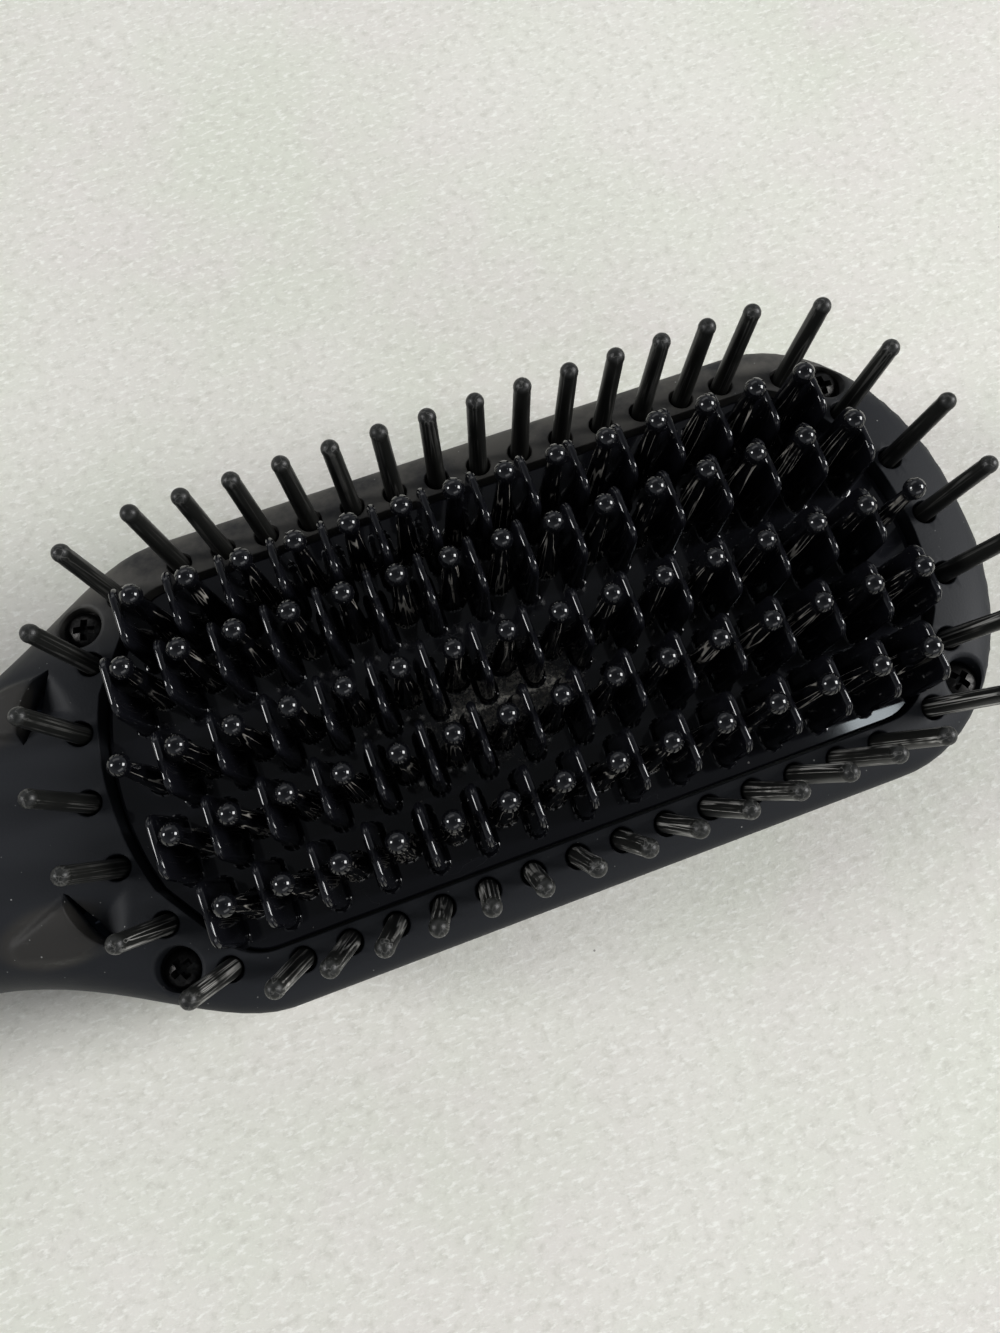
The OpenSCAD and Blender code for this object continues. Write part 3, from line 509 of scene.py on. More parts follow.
lamp("side_lamp_right", (0.93, -0.20, 0.62), (0.44, 0.40), 18.2)
lamp("side_lamp_left", (-0.74, 0.22, 0.60), (0.29, 0.29), 17.7)
lamp("far_window", (0.02, 1.0, 0.75), (1.2, 0.45), 0.9)
lamp("near_wall", (0.25, -1.0, 0.60), (1.0, 0.40), 1.5)
BARE_STRIP = (0.1193, -0.0222, 0.0225)
strip_lamp = lamp("lamp_in_the_bare_strip", (0.7245, 0.006, 1.39), (0.15, 0.085), 9, BARE_STRIP)
strip_lamp.data.color = (0.86, 0.95, 1.0)

# %% [markdown]
# The room is dim overhead and brighter towards its walls, so that the glossy coating stays black from
# above while the table and the matt parts still get plenty of soft light from the sides.

# %% Room
world = bpy.data.worlds.new("room")
world.use_nodes = True
sky = world.node_tree
back = sky.nodes["Background"]


def world_node(kind, **settings):
    n = sky.nodes.new(kind)
    for key, value in settings.items():
        setattr(n, key, value)
    return n


toward = world_node("ShaderNodeNewGeometry")
split = world_node("ShaderNodeSeparateXYZ")
squared = world_node("ShaderNodeMath", operation="MULTIPLY")
level = world_node("ShaderNodeMapRange")
sky.links.new(toward.outputs["Incoming"], split.inputs["Vector"])
sky.links.new(split.outputs["Z"], squared.inputs[0])
sky.links.new(split.outputs["Z"], squared.inputs[1])
sky.links.new(squared.outputs[0], level.inputs["Value"])
level.inputs["To Min"].default_value = 0.40
level.inputs["To Max"].default_value = 0.11
sky.links.new(level.outputs["Result"], back.inputs["Strength"])
back.inputs["Color"].default_value = (0.88, 0.93, 1.0, 1)
bpy.context.scene.world = world
bpy.context.scene.view_settings.view_transform = "Standard"

# %% [markdown]
# ## Finishes
# The casting has a glossy black coating, nearly a mirror, so it lives from what it reflects. Fine
# scratches and dust break it up, and a greyish powder lies between the fins near the middle. Pale
# streaks painted on the stems of the pins stand in for highlights, and the fins and pins get a darker
# copy of the coating as painted shade. All of it is noise on Object coordinates in the roughness,
# colour and bump, so it needs no picture and stays put in every view.

# %% Coating of the casting
POWDER = (0.0768, -0.0045, 0.0225), (0.0165, 0.0115, 0.004)  # middle and half sizes, in metres
PIN_STEM_TOP = 0.0373  # the painted highlight streaks stop here, under the balls


def coating(name, powdery=0.0, streak_highlight=0.0, rough=0.05, depth=1.0):
    """The glossy black coating, with powder on the plate, pale streaks painted on the pin stems as
    highlights, and painted shade where depth is under 1.
    """
    f = Finish(name, Specular_IOR_Level=0.5)
    smudge = f.noise(70.0, 3.0)
    scratch_at = f.noise(160.0, 2.0, 0.4, f.stretch(1.0, 2.6, 1.0))
    scratches = (1.0 - (scratch_at - 0.5).math("ABSOLUTE").ramp(0.0, 0.004)) * smudge.ramp(0.5, 0.62)
    dust = f.dots(330.0, 0.05, 0.60) + f.dots(900.0, 0.07, 0.6) * 0.6
    worn = scratches * 0.35
    # depth darkens the coating's colour: under 1 it paints shade onto the fins and pins.
    deep, worn_thin = (tuple(depth * c for c in tone)
                       for tone in ((0.0062, 0.0064, 0.0088), (0.0082, 0.0085, 0.0110)))
    colour = f.tint(deep, worn_thin, smudge)
    colour = f.tint(colour, (0.05, 0.05, 0.052), worn)
    if powdery:
        spread = f.ellipsoid(*POWDER)
        lumps = (spread * 0.8 + f.noise(380.0, 3.0, 0.6)).ramp(0.72, 1.15)
        flecks = f.noise(1900.0, 4.0, 0.85).ramp(0.48, 0.60) + f.dots(2600.0, 0.40, 0.60)
        powder_and_highlight_streaks = (flecks * lumps + lumps * 0.10) * spread.ramp(0.0, 0.2) * powdery
    else:
        # On the pins: pale lines along the stems, a painted highlight.
        runs = f.noise(1100.0, 1.0, 0.5, f.stretch(1.0, 1.0, 0.02))
        powder_and_highlight_streaks = 1.0 - (runs - 0.5).math("ABSOLUTE").ramp(0.006, 0.030)
        powder_and_highlight_streaks = powder_and_highlight_streaks * f.noise(260.0, 2.0).ramp(0.40, 0.55) * streak_highlight
        powder_and_highlight_streaks = powder_and_highlight_streaks * (PIN_STEM_TOP - f.parts(f.where)["Z"]).ramp(0.0, 0.001)
    # Pale tint: real powder on the plate, painted highlight streaks on the pin stems.
    colour = f.tint(colour, (0.68, 0.64, 0.57), powder_and_highlight_streaks.math("MINIMUM", 1.0))
    f.feed(Base_Color=f.tint(colour, (0.28, 0.27, 0.25), dust * 0.7),
           Roughness=rough + smudge * 0.035 + scratches * 0.15 + powder_and_highlight_streaks * 0.6 + dust * 0.5,
           Normal=f.bump(smudge * 0.2 + powder_and_highlight_streaks * 0.5 + f.noise(900.0) * 0.012, 0.0001, 0.6))
    return f


coated = coating("coated_plate", powdery=1.7)
# Fins and pins take a darker copy of the plate's coating, as painted shade.
fin_coat = coating("coated_fins", rough=0.045, depth=0.75)
pin_coat = coating("coated_pins", streak_highlight=0.55, depth=0.4)

# %% [markdown]
# Soft-touch paint is matt and hardly reflects. It shows a fine grain, pale dust caught in the grain,
# a lighter brownish band along the far edge of the face, dust with painted light from that side mixed
# in, and scuffs on the two hoods, where fingers rub it.

# %% Soft-touch black
SCUFF_X, SCUFF_Y, SCUFF_Z, SCUFF_HALF = 0.0185, 0.0136, 0.0255, (0.0085, 0.0050, 0.004)
soft_black = Finish("soft_touch_black", Specular_IOR_Level=0.22)
cloud = soft_black.noise(45.0, 4.0)
grain = soft_black.noise(3600.0, 2.0)
lint = soft_black.dots(420.0, 0.055, 0.55) + soft_black.dots(800.0, 0.075, 0.5) * 0.6
spot = soft_black.parts(soft_black.where)
# Lighter brownish band along the far edge: dust, and partly painted light falling on that side.
far_edge_dust_and_light = spot["Y"].ramp(0.016, 0.029) * soft_black.noise(120.0, 5.0, 0.65).ramp(0.25, 0.6)
far_edge_dust_and_light = far_edge_dust_and_light * (spot["Z"] - 0.014).ramp(0.0, 0.006)
scuffs = soft_black.noise(240.0, 4.0, 0.7, soft_black.stretch(0.5, 1.6, 1.0)).ramp(0.56, 0.74)
hoods = (soft_black.ellipsoid((SCUFF_X, -SCUFF_Y, SCUFF_Z), SCUFF_HALF)
         + soft_black.ellipsoid((SCUFF_X, SCUFF_Y, SCUFF_Z), SCUFF_HALF))
hood_scuff = hoods * scuffs
colour = soft_black.tint((0.0093, 0.0104, 0.0130), (0.0122, 0.0134, 0.0160), cloud)
colour = soft_black.tint(colour, (0.10, 0.094, 0.082), far_edge_dust_and_light * 0.85)
colour = soft_black.tint(colour, (0.030, 0.0275, 0.024), hoods.ramp(0.0, 0.3) * 0.75)
colour = soft_black.tint(colour, (0.20, 0.20, 0.19), hood_scuff * hoods * 0.9)
soft_black.feed(Base_Color=soft_black.tint(colour, (0.34, 0.34, 0.33), lint * 0.75),
                Roughness=0.52 + cloud * 0.12 + lint * 0.2 - hood_scuff * 0.12,
                Normal=soft_black.bump(grain + lint * 2.0 + scuffs * 0.3, 0.00003, 0.55))

# %% [markdown]
# Plain parts: blackened screws, satin controls and swivel, and the smoked window. Moulded ones get a
# mottle and a grain, and metal ones a drawn or rolled texture with a few darker stains.


# %% Plain moulded and metal finishes
def moulded(name, dark, light, rough, grain=2600.0, depth=0.00002):
    f = Finish(name, Specular_IOR_Level=0.4)
    mottle = f.noise(90.0, 4.0)
    lint = f.dots(420.0, 0.04, 0.74)
    f.feed(Base_Color=f.tint(f.tint(dark, light, mottle), (0.3, 0.3, 0.29), lint * 0.4),
           Roughness=(rough - 0.06) + mottle * 0.12,
           Normal=f.bump(f.noise(grain, 2.0) + mottle * 0.3, depth, 0.6))
    return f


def metal(name, dark, light, rough, drawn=(1.0, 0.06, 1.0)):
    f = Finish(name, Metallic=0.95)
    lines = f.noise(2600.0, 3.0, 0.6, f.stretch(*drawn))
    stains = f.noise(130.0, 4.0, 0.6).ramp(0.5, 0.75)
    f.feed(Base_Color=f.tint(f.tint(light, dark, lines.ramp(0.35, 0.75)), dark, stains * 0.5),
           Roughness=(rough - 0.08) + lines * 0.14 + stains * 0.1,
           Normal=f.bump(lines, 0.00002, 0.5))
    return f


dark_steel = metal("black_steel", (0.008, 0.008, 0.008), (0.028, 0.027, 0.026), 0.38, (1.0, 1.0, 1.0))
satin = moulded("satin_black", (0.009, 0.0095, 0.0105), (0.013, 0.0135, 0.0145), 0.34)
swivel_black = moulded("swivel_black", (0.009, 0.009, 0.010), (0.014, 0.014, 0.015), 0.40, 1800.0)
smoked = moulded("smoked_window", (0.004, 0.004, 0.005), (0.007, 0.007, 0.008), 0.10, 500.0, 0.000004)
spring_steel = metal("spring_steel", (0.30, 0.30, 0.31), (0.62, 0.62, 0.63), 0.32)
brass = metal("brass", (0.42, 0.27, 0.10), (0.78, 0.56, 0.25), 0.28, (1.0, 1.0, 0.06))
ceramic = moulded("fired_ceramic", (0.66, 0.62, 0.54), (0.80, 0.77, 0.70), 0.55, 1500.0)
shield_brown = moulded("heat_proof_moulding", (0.40, 0.31, 0.19), (0.52, 0.42, 0.28), 0.60)
resin = moulded("dark_resin", (0.014, 0.017, 0.024), (0.024, 0.029, 0.040), 0.22, 400.0)
pale_moulding = moulded("pale_moulding", (0.58, 0.58, 0.55), (0.70, 0.70, 0.67), 0.42)
board_green = moulded("solder_mask", (0.010, 0.070, 0.028), (0.016, 0.105, 0.044), 0.30, 700.0)

# %% Finishes of the measured parts that stay
INSIDE = {
    ceramic: ("ceramic_heaters", "thermistor"),
    spring_steel: ("heater_clamp", "clamp_screws", "thermal_fuse", "board_screws", "swivel_washer"),
    shield_brown: ("heat_shield",),
    resin: ("ion_emitters", "ion_generator", "tact_switches", "display_module", "contact_block"),
    board_green: ("main_board",),
    pale_moulding: ("power_plunger", "temp_up_plunger", "temp_down_plunger"),
    brass: ("slip_rings", "contact_springs"),
}
for finish, nodes in INSIDE.items():
    for node in nodes:
        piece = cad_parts[node]
        if not piece.material_slots:
            piece.data.materials.append(None)
        for socket in piece.material_slots:
            socket.material = finish.material
print("finishes on parts that stay:", sum(len(nodes) for nodes in INSIDE.values()))

# %% [markdown]
# ## The coated casting
# On the real brush the plate, the fins and the foot of each pin are one casting under one black
# coating. The plate is a bowed outline stacked in rings, with a rounded rim that catches a thin line
# of light. Each fin and each pin is a stack of rings as well, because a stack takes a fillet at the
# foot, a taper and a round rim from a few numbers, and 77 fins stay light.

# %% Outline of the plate
END_X = PLATE_L / 2 - BOW_R + BOW_R * math.cos(math.radians(BOW_DEG))
END_Y = BOW_R * math.sin(math.radians(BOW_DEG))
CORNER_X = (END_X - CORNER_R / math.cos(math.radians(CUT_DEG))
            + (END_Y - PLATE_W / 2 + CORNER_R) * math.tan(math.radians(CUT_DEG)))


def plate_outline(g=0.0, z=0.0, bow=7, corner=6, side=44, cut=5):
    """Places round the plate, grown by g, with evenly spaced points on the straight parts."""
    q = []
    for k in range(bow):
        a = math.radians(BOW_DEG) * k / (bow - 1)
        q.append((PLATE_L / 2 - BOW_R + (BOW_R + g) * math.cos(a), (BOW_R + g) * math.sin(a)))
    arc = [(CORNER_X + (CORNER_R + g) * math.cos(math.radians(mix(CUT_DEG, 90, k / corner))),
            PLATE_W / 2 - CORNER_R + (CORNER_R + g) * math.sin(math.radians(mix(CUT_DEG, 90, k / corner))))
           for k in range(corner + 1)]
    q += [(mix(q[-1][0], arc[0][0], k / cut), mix(q[-1][1], arc[0][1], k / cut)) for k in range(1, cut)]
    q += arc
    q += [(mix(arc[-1][0], 0, k / (side // 2)), arc[-1][1]) for k in range(1, side // 2)]
    upper = q + [(0.0, q[-1][1])] + [(-x, y) for x, y in reversed(q)]
    ring = upper + [(x, -y) for x, y in reversed(upper[1:-1])]
    return [Vector((X_MID + x, y, z)) for x, y in ring]


bm = bmesh.new()
EDGE, SNUG, UNDER = 0.3, 0.32, 0.25  # rounding of the rim, growth into the gap, chamfer underneath
rings = [plate_outline(SNUG - UNDER, PLATE_FOOT), plate_outline(SNUG, PLATE_FOOT + UNDER)]
for k in range(5):
    a = math.radians(22.5 * k)
    rings.append(plate_outline(SNUG - EDGE * (1 - math.cos(a)), PLATE_Z - EDGE * (1 - math.sin(a))))
stack(bm, rings)
finish_piece(bm, "plate_casting", "case", coated.material, ("heater_plate",))


# %% Fins
def stadium(half_t, half_l, z, cx, cy, count=6):
    """A round-ended slot shape across the brush."""
    half_l = max(half_l, half_t)
    out = []
    for end, start in ((1, 0.0), (-1, math.pi)):
        for k in range(count + 1):
            a = start + math.pi * k / count
            along = end * (half_l - half_t) + half_t * math.sin(a)
            out.append(Vector((cx + half_t * math.cos(a), cy + along, z)))
    return out


FILLET, SIDE_DRAFT = 0.6, 0.4
OVERLAP = 0.02  # how far a fin or pin dips into the plate
FIN_STEPS = (1.55, 1.22, 0.93, 0.68)  # depths under the rim, where a fin's corners are round


def fin_rings(cx, cy):
    """Rings of one fin: a hollow fillet at its foot, a slight taper and a rounded rim."""
    out = []
    for k in range(5):
        a = math.radians(90 * k / 4)
        out.append((FILLET * (1 - math.cos(a)), FIN_T / 2 + FILLET * (1 - math.sin(a)),
                    FIN_LEN / 2 - 0.15 + FILLET * (1 - math.sin(a))))
    top_r = FIN_TOP_T / 2
    levels = [3.5, 7.0] + [FIN_H - d for d in (FIN_CORNER, *FIN_STEPS)]
    levels += [FIN_H - top_r * (1 - math.cos(math.radians(a))) for a in (90, 75, 60, 45, 30, 15, 0)]
    for z in levels:
        t = mix(FIN_T / 2, top_r, (z - FILLET) / (FIN_H - top_r - FILLET))
        if z > FIN_H - top_r:
            t = math.sqrt(max(0.0, top_r ** 2 - (z - FIN_H + top_r) ** 2))
        c = max(0.0, z - FIN_H + FIN_CORNER)
        length = (FIN_LEN / 2 - SIDE_DRAFT * min(z, FIN_H - FIN_CORNER) / (FIN_H - FIN_CORNER)
                  - FIN_CORNER + math.sqrt(max(0.0, FIN_CORNER ** 2 - c ** 2)))
        out.append((z, max(t, 0.05), length))
    return [stadium(t, length, PLATE_Z + z - OVERLAP, cx, cy) for z, t, length in out]


bm = bmesh.new()
rows = []
for r in range(5):
    y = ROW_PITCH * (2 - r) + (ROW_SHIFT if r == 1 else 0)
    n = 15 if r % 2 == 0 else 16
    rows.append((y, n))
    for i in range(n):
        stack(bm, fin_rings(X_MID + (i - (n - 1) / 2) * PITCH, y))
finish_piece(bm, "fin_rows", "case", fin_coat.material, ("heater_plate",), 60.0, False)


# %% Ball-tipped pins
def pin_profile():
    """Half outline of a heated pin, from its foot to the top of its ball."""
    flare = 0.5
    out = [(PIN_FOOT_D / 2 + flare * (1 - math.sin(math.radians(a))), flare * (1 - math.cos(math.radians(a))))
           for a in (0, 30, 60, 90)]
    ball = BALL_D / 2
    neck = math.asin(PIN_NECK_D / 2 / ball)
    low_z = BALL_H - ball * math.cos(neck)
    out += [(mix(PIN_FOOT_D / 2, PIN_NECK_D / 2, t), mix(flare, low_z, t)) for t in (0.35, 0.7, 1.0)]
    out += [(ball * math.sin(a), BALL_H - ball * math.cos(a))
            for a in [mix(neck, math.pi, k / 9) for k in range(1, 10)]]
    return out


def turned(bm, profile, cx, cy, z0, steps, lean=None):
    """A turned body on a profile of radius and height, closed at both ends."""
    rings = [circle(max(r, 0.03), steps, 0, 0, z) for r, z in profile]
    for ring in rings:
        for p in ring:
            if lean:
                p.rotate(lean)
            p += Vector((cx, cy, z0))
    stack(bm, rings)


bm = bmesh.new()
profile = pin_profile()
pins = 0
for r, (y, n) in enumerate(rows):
    count = n + 1 if r == 2 else n - 1
    for i in range(count):
        turned(bm, profile, X_MID + (i - (count - 1) / 2) * PITCH, y, PLATE_Z - OVERLAP, 18)
        pins += 1
finish_piece(bm, "ball_pins", "case", pin_coat.material, ("heater_plate",), 60.0, False)
print("pins:", pins)

# %% [markdown]
# ## Bristles
# Outer bristles of nylon keep the hot fins off the scalp. They come up through holes in the face and
# lean outwards a little, and all of them stand on one carrier under the face. Each is a turned profile
# with a slight taper and a round tip, leaned about its foot.

# %% Bristles
SIDE_Y = PLATE_W / 2 + GAP + 2.09
ARC_A = PLATE_L / 2 + GAP + 2.4
ARC_B = SIDE_Y + 16.06
ARC_STEP = math.radians(11.55)
SIDE_HALF = ARC_A * math.cos(3 * ARC_STEP) - 8.1
bristle_places = [((2 * i / 13 - 1) * SIDE_HALF, s * SIDE_Y) for s in (-1, 1) for i in range(14)]
bristle_places += [(s * ARC_A * math.cos(k * ARC_STEP), ARC_B * math.sin(k * ARC_STEP))
                   for s in (-1, 1) for k in range(-3, 4)]
SLANT = math.tan(math.radians(LEAN_DEG))


def lean_of(p):
    """Direction of a bristle: it leans out more the further out it stands."""
    return Vector((SLANT * p[0] / ARC_A, SLANT * p[1] / SIDE_Y, 1.0))


# %% [markdown]
# The nylon of the bristles is slightly glossy and a little olive. Fine silvery lines painted along each
# shaft stand in for highlights, most of all on the bristles along the near edge, as painted light there.

# %% Nylon of the bristles
nylon = Finish("nylon_black", Specular_IOR_Level=0.34)
spot = nylon.parts(nylon.where)
height = spot["Z"] - FACE_Z * MM
upright = nylon.node("ShaderNodeCombineXYZ", None,
                     X=(spot["X"] - X_MID * MM).math("DIVIDE", height * (SLANT / ARC_A / MM) + 1.0),
                     Y=spot["Y"].math("DIVIDE", height * (SLANT / SIDE_Y / MM) + 1.0),
                     Z=spot["Z"] * 0.012)["Vector"]
streak = nylon.noise(1900.0, 3.0, 0.65, upright)
fine_lines = 1.0 - (nylon.noise(1300.0, 1.0, 0.5, upright) - 0.5).math("ABSOLUTE").ramp(0.004, 0.028)
patches = nylon.noise(210.0, 2.0)
# Painted light: the bristles along the near edge get more of the pale lines.
near_side_painted_light = (0.0 - spot["Y"]).ramp(0.010, 0.022) * (0.0405 - spot["Z"]).ramp(0.0018, 0.004)
# Pale lines along the shafts: painted highlights.
painted_highlight_lines = (streak.ramp(0.55, 0.66) * 0.8 + fine_lines).math("MINIMUM", 1.0)
painted_highlight_lines = painted_highlight_lines * (near_side_painted_light * 0.85 + 0.13) * patches.ramp(0.30, 0.55) * height.ramp(-0.0008, 0.0008)
colour = nylon.tint((0.0075, 0.0078, 0.0070), (0.0125, 0.0127, 0.0115), streak)
nylon.feed(Base_Color=nylon.tint(colour, (0.52, 0.51, 0.48), painted_highlight_lines * 0.85),
           Roughness=0.34 + streak * 0.14 - painted_highlight_lines * 0.1,
           Normal=nylon.bump(streak + nylon.noise(3000.0) * 0.15, 0.00008, 0.5))

# %% Bristle pieces
RING_TOP, RING_T = PLATE_FOOT + 0.5, 3.0
TIP_R = 1.1
# radius and height from the foot of the bristle
bristle_profile = [(1.2, 0.0), (1.2, 2.0), (1.18, 6.0), (1.12, 11.0), (1.07, 15.4)]
tip_mid = FACE_Z + BRISTLE_H - TIP_R - (RING_TOP - 1)
bristle_profile += [(1.06, tip_mid - 1.5), (1.03, tip_mid - 0.75), (1.05, tip_mid - 0.4)]
bristle_profile += [(TIP_R * math.sin(a), tip_mid - TIP_R * math.cos(a))
                    for a in [mix(1.25, math.pi, k / 8) for k in range(9)]]
bm = bmesh.new()
for p in bristle_places:
    axis = lean_of(p)
    foot = Vector((X_MID + p[0], p[1], FACE_Z)) - axis * (FACE_Z - RING_TOP + 1)
    turned(bm, bristle_profile, foot.x, foot.y, foot.z, 20, Vector((0, 0, 1)).rotation_difference(axis))


def oval(a, b, y_max, z, count=120):
    """An ellipse with its long sides cut straight, as the carrier has them."""
    return [Vector((X_MID + a * math.cos(2 * math.pi * k / count),
                    max(-y_max, min(y_max, b * math.sin(2 * math.pi * k / count))), z)) for k in range(count)]


RING_LOW = RING_TOP - RING_T
ring_hole = plate_outline(-2.5)
carrier = sheet(bm, oval(ARC_A + 1.5, ARC_B + 1.5, SIDE_Y + 1.5, 0), [ring_hole], [],
                lambda p: Vector((p.x, p.y, RING_LOW)))
for ring in carrier:
    pull(bm, ring, [Vector((v.co.x, v.co.y, RING_TOP)) for v in ring])
sheet(bm, oval(ARC_A + 1.5, ARC_B + 1.5, SIDE_Y + 1.5, 0), [ring_hole], [],
      lambda p: Vector((p.x, p.y, RING_TOP)))
finish_piece(bm, "bristles", "case", nylon.material, ("bristle_frame",), 38.0, False)

# %% [markdown]
# ## Front housing
# The face is one moulding with many openings: the plate's, a hole for each bristle, the screw
# recesses, the window's seat, the buttons and the two air scoops. Each opening is first an outline
# that can grow by g, so that the same function draws its rounded rim and its wall.

# %% Outlines of the openings in the face
STEP = 1.9
BUTTONS = (("temp_up", -43.35, 8.0), ("power", -56.85, 10.0), ("temp_down", -70.35, 8.0))
WINDOW_X, WINDOW_L, WINDOW_W, WINDOW_SINK = -25.35, 20.0, 9.0, 1.5
WINDOW_FLOOR = top.over(WINDOW_X, 0) - WINDOW_SINK
SCREW_R = SCREW_HEAD_D / 2 + SLIDE
head_places = [(X_MID + sx * SCREW_X, sy * SCREW_Y) for sx in (-1, 1) for sy in (-1, 1)]


SCREW_SINK, POCKET_DEPTH, POCKET_BOSS_R, BOSS_R, PILOT_R = 3.0, 5, 4.3, 3.0, 1.45


def head_seat(p):
    """Height of the floor of a screw recess in the face."""
    return top.over(*p) - SCREW_SINK


def round_hole(cx, cy, r, count=28):
    return lambda g: [(p.x, p.y) for p in circle(r + g, count, cx, cy)]


def window_outline(g):
    """The window's rounded rectangle, grown by g, with points along its long sides."""
    half_l, half_w, r = WINDOW_L / 2 + g, WINDOW_W / 2 + g, 2 + g
    pts = []
    for sx, sy, start in ((1, 1, 0), (-1, 1, 90), (-1, -1, 180), (1, -1, 270)):
        for k in range(7):
            a = math.radians(start + 15 * k)
            pts.append((WINDOW_X + sx * (half_l - r) + r * math.cos(a), sy * (half_w - r) + r * math.sin(a)))
        if sy == sx:
            x, y = pts[-1]
            pts += [(mix(x, 2 * WINDOW_X - x, k / 10), y) for k in range(1, 10)]
    return pts


# %% [markdown]
# A low hood stands over each air slot, and a hollow like a spoon leads under it. The hood and the
# hollow are in relief() above, so only the slot itself is an opening.

# %% Air scoops
SLOT_W, LIP_R, FLOOR_R, SLOT_STEPS = 1.3, 0.3, 0.12, 28


def slot_outline(side, grow):
    """The opening under a hood: its lip on one side and the end of the hollow on the other."""
    def at(r, a):
        return RIM_X - r * math.cos(a + HEADING), side * (RIM_Y + r * math.sin(a + HEADING))
    steps = [(mix(RIM_FROM, RIM_TO, k / SLOT_STEPS), math.sin(math.pi * k / SLOT_STEPS) ** 0.5)
             for k in range(SLOT_STEPS)] + [(RIM_TO, 0.0)]
    lip = [at(RIM_R + 0.02 + LIP_R * grow * w, a) for a, w in steps]
    foot = [at(RIM_R - (SLOT_W + FLOOR_R * grow) * w, a) for a, w in reversed(steps[1:-1])]
    return lip + foot


# %% [markdown]
# ## One half of the case
# A half is two skins with one parting edge. The flat pattern of a skin is covered with even triangles
# between its border and its openings, then every point is put where the arches say. From each opening
# the rim is rounded over and pulled through to the inner skin, or down to a floor.

# %% Shells
def skin_border(skin, count=150, lip=0.3):
    """Flat pattern of a skin's edge, anticlockwise, and its half width at any station."""
    end = X_NOSE + skin.nose * math.radians(89)
    us = [mix(X_BUTT, end, k / count) for k in range(count + 1)]

    def half(u):
        _, w, h, _ = skin.station(u)
        return w * (math.pi / 2 - (min(0.3, lip / h) if skin.g == 0 else 0))

    tip = [(end, half(end) * (2 * k / 4 - 1)) for k in range(1, 4)]
    butt = [(X_BUTT, half(X_BUTT) * (1 - 2 * k / 24)) for k in range(1, 24)]
    return [(u, -half(u)) for u in us] + tip + [(u, half(u)) for u in reversed(us)] + butt, half, end


# %% Kinds of opening
def rounded(bm, ring, outline, ease, skin):
    """Rounds the rim of an opening over, down to its wall."""
    for a in (30, 60, 90):
        a = math.radians(a)
        out, down = ease * (1 - math.sin(a)), ease * (1 - math.cos(a))
        ring = pull(bm, ring, [Vector((x, y, skin.over(x, y) - skin.side * down)) for x, y in outline(out)])
    return ring


def through(outline, ease):
    """An opening that goes straight through to the inner skin."""
    def cut(bm, ring, ring_in, outer, inner):
        ring = rounded(bm, ring, outline, ease, outer)
        pull(bm, ring, [v.co.copy() for v in ring_in])
    return outline(ease), outline(0), cut


def pocket(cx, cy, r, boss_r, floor_z, end_z, ease, count=36):
    """A round recess with a floor, in a boss that stands on the inner skin where it has one."""
    outline, boss = round_hole(cx, cy, r, count), round_hole(cx, cy, boss_r or r, count)

    def cut(bm, ring, ring_in, outer, inner):
        ring = rounded(bm, ring, outline, ease, outer)
        bm.faces.new(pull(bm, ring, [Vector((x, y, floor_z)) for x, y in outline(0)]))
        if ring_in:
            bm.faces.new(pull(bm, ring_in, [Vector((x, y, end_z)) for x, y in boss(0)]))
    return outline(ease), boss(0) if boss_r else None, cut


def window_seat(ease=0.22, lip=1.0):
    """The stepped seat of the display window."""
    def cut(bm, ring, ring_in, outer, inner):
        ring = rounded(bm, ring, window_outline, ease, outer)
        ring = pull(bm, ring, [Vector((x, y, WINDOW_FLOOR)) for x, y in window_outline(0)])
        ring = pull(bm, ring, [Vector((x, y, WINDOW_FLOOR)) for x, y in window_outline(-lip)])
        pull(bm, ring, [v.co.copy() for v in ring_in])
    return window_outline(ease), window_outline(-lip), cut


def scooped(side):
    """The opening under a hood, with a rounded lip, straight through to the inner skin."""
    def cut(bm, ring, ring_in, outer, inner):
        heights = [v.co.z for v in ring]
        for a in (30, 60, 90):
            a = math.radians(a)
            ring = pull(bm, ring, [Vector((x, y, z - LIP_R * (1 - math.cos(a))))
                                   for (x, y), z in zip(slot_outline(side, 1 - math.sin(a)), heights)])
        pull(bm, ring, [v.co.copy() for v in ring_in])
    return slot_outline(side, 1.0), slot_outline(side, 0.0), cut


# %% A housing half
PARTING_R, PARTING_REACH = 0.35, 1.5  # rounding at the parting line, and how near a point belongs to it


def on_hood(p):
    """Whether a point of the flat pattern is on or near a hood or its hollow."""
    at = top.place(p.x, p.y)
    return HOOD_TIP_X - 1 < at.x < RIM_X and 5 < abs(at.y) < 18.5


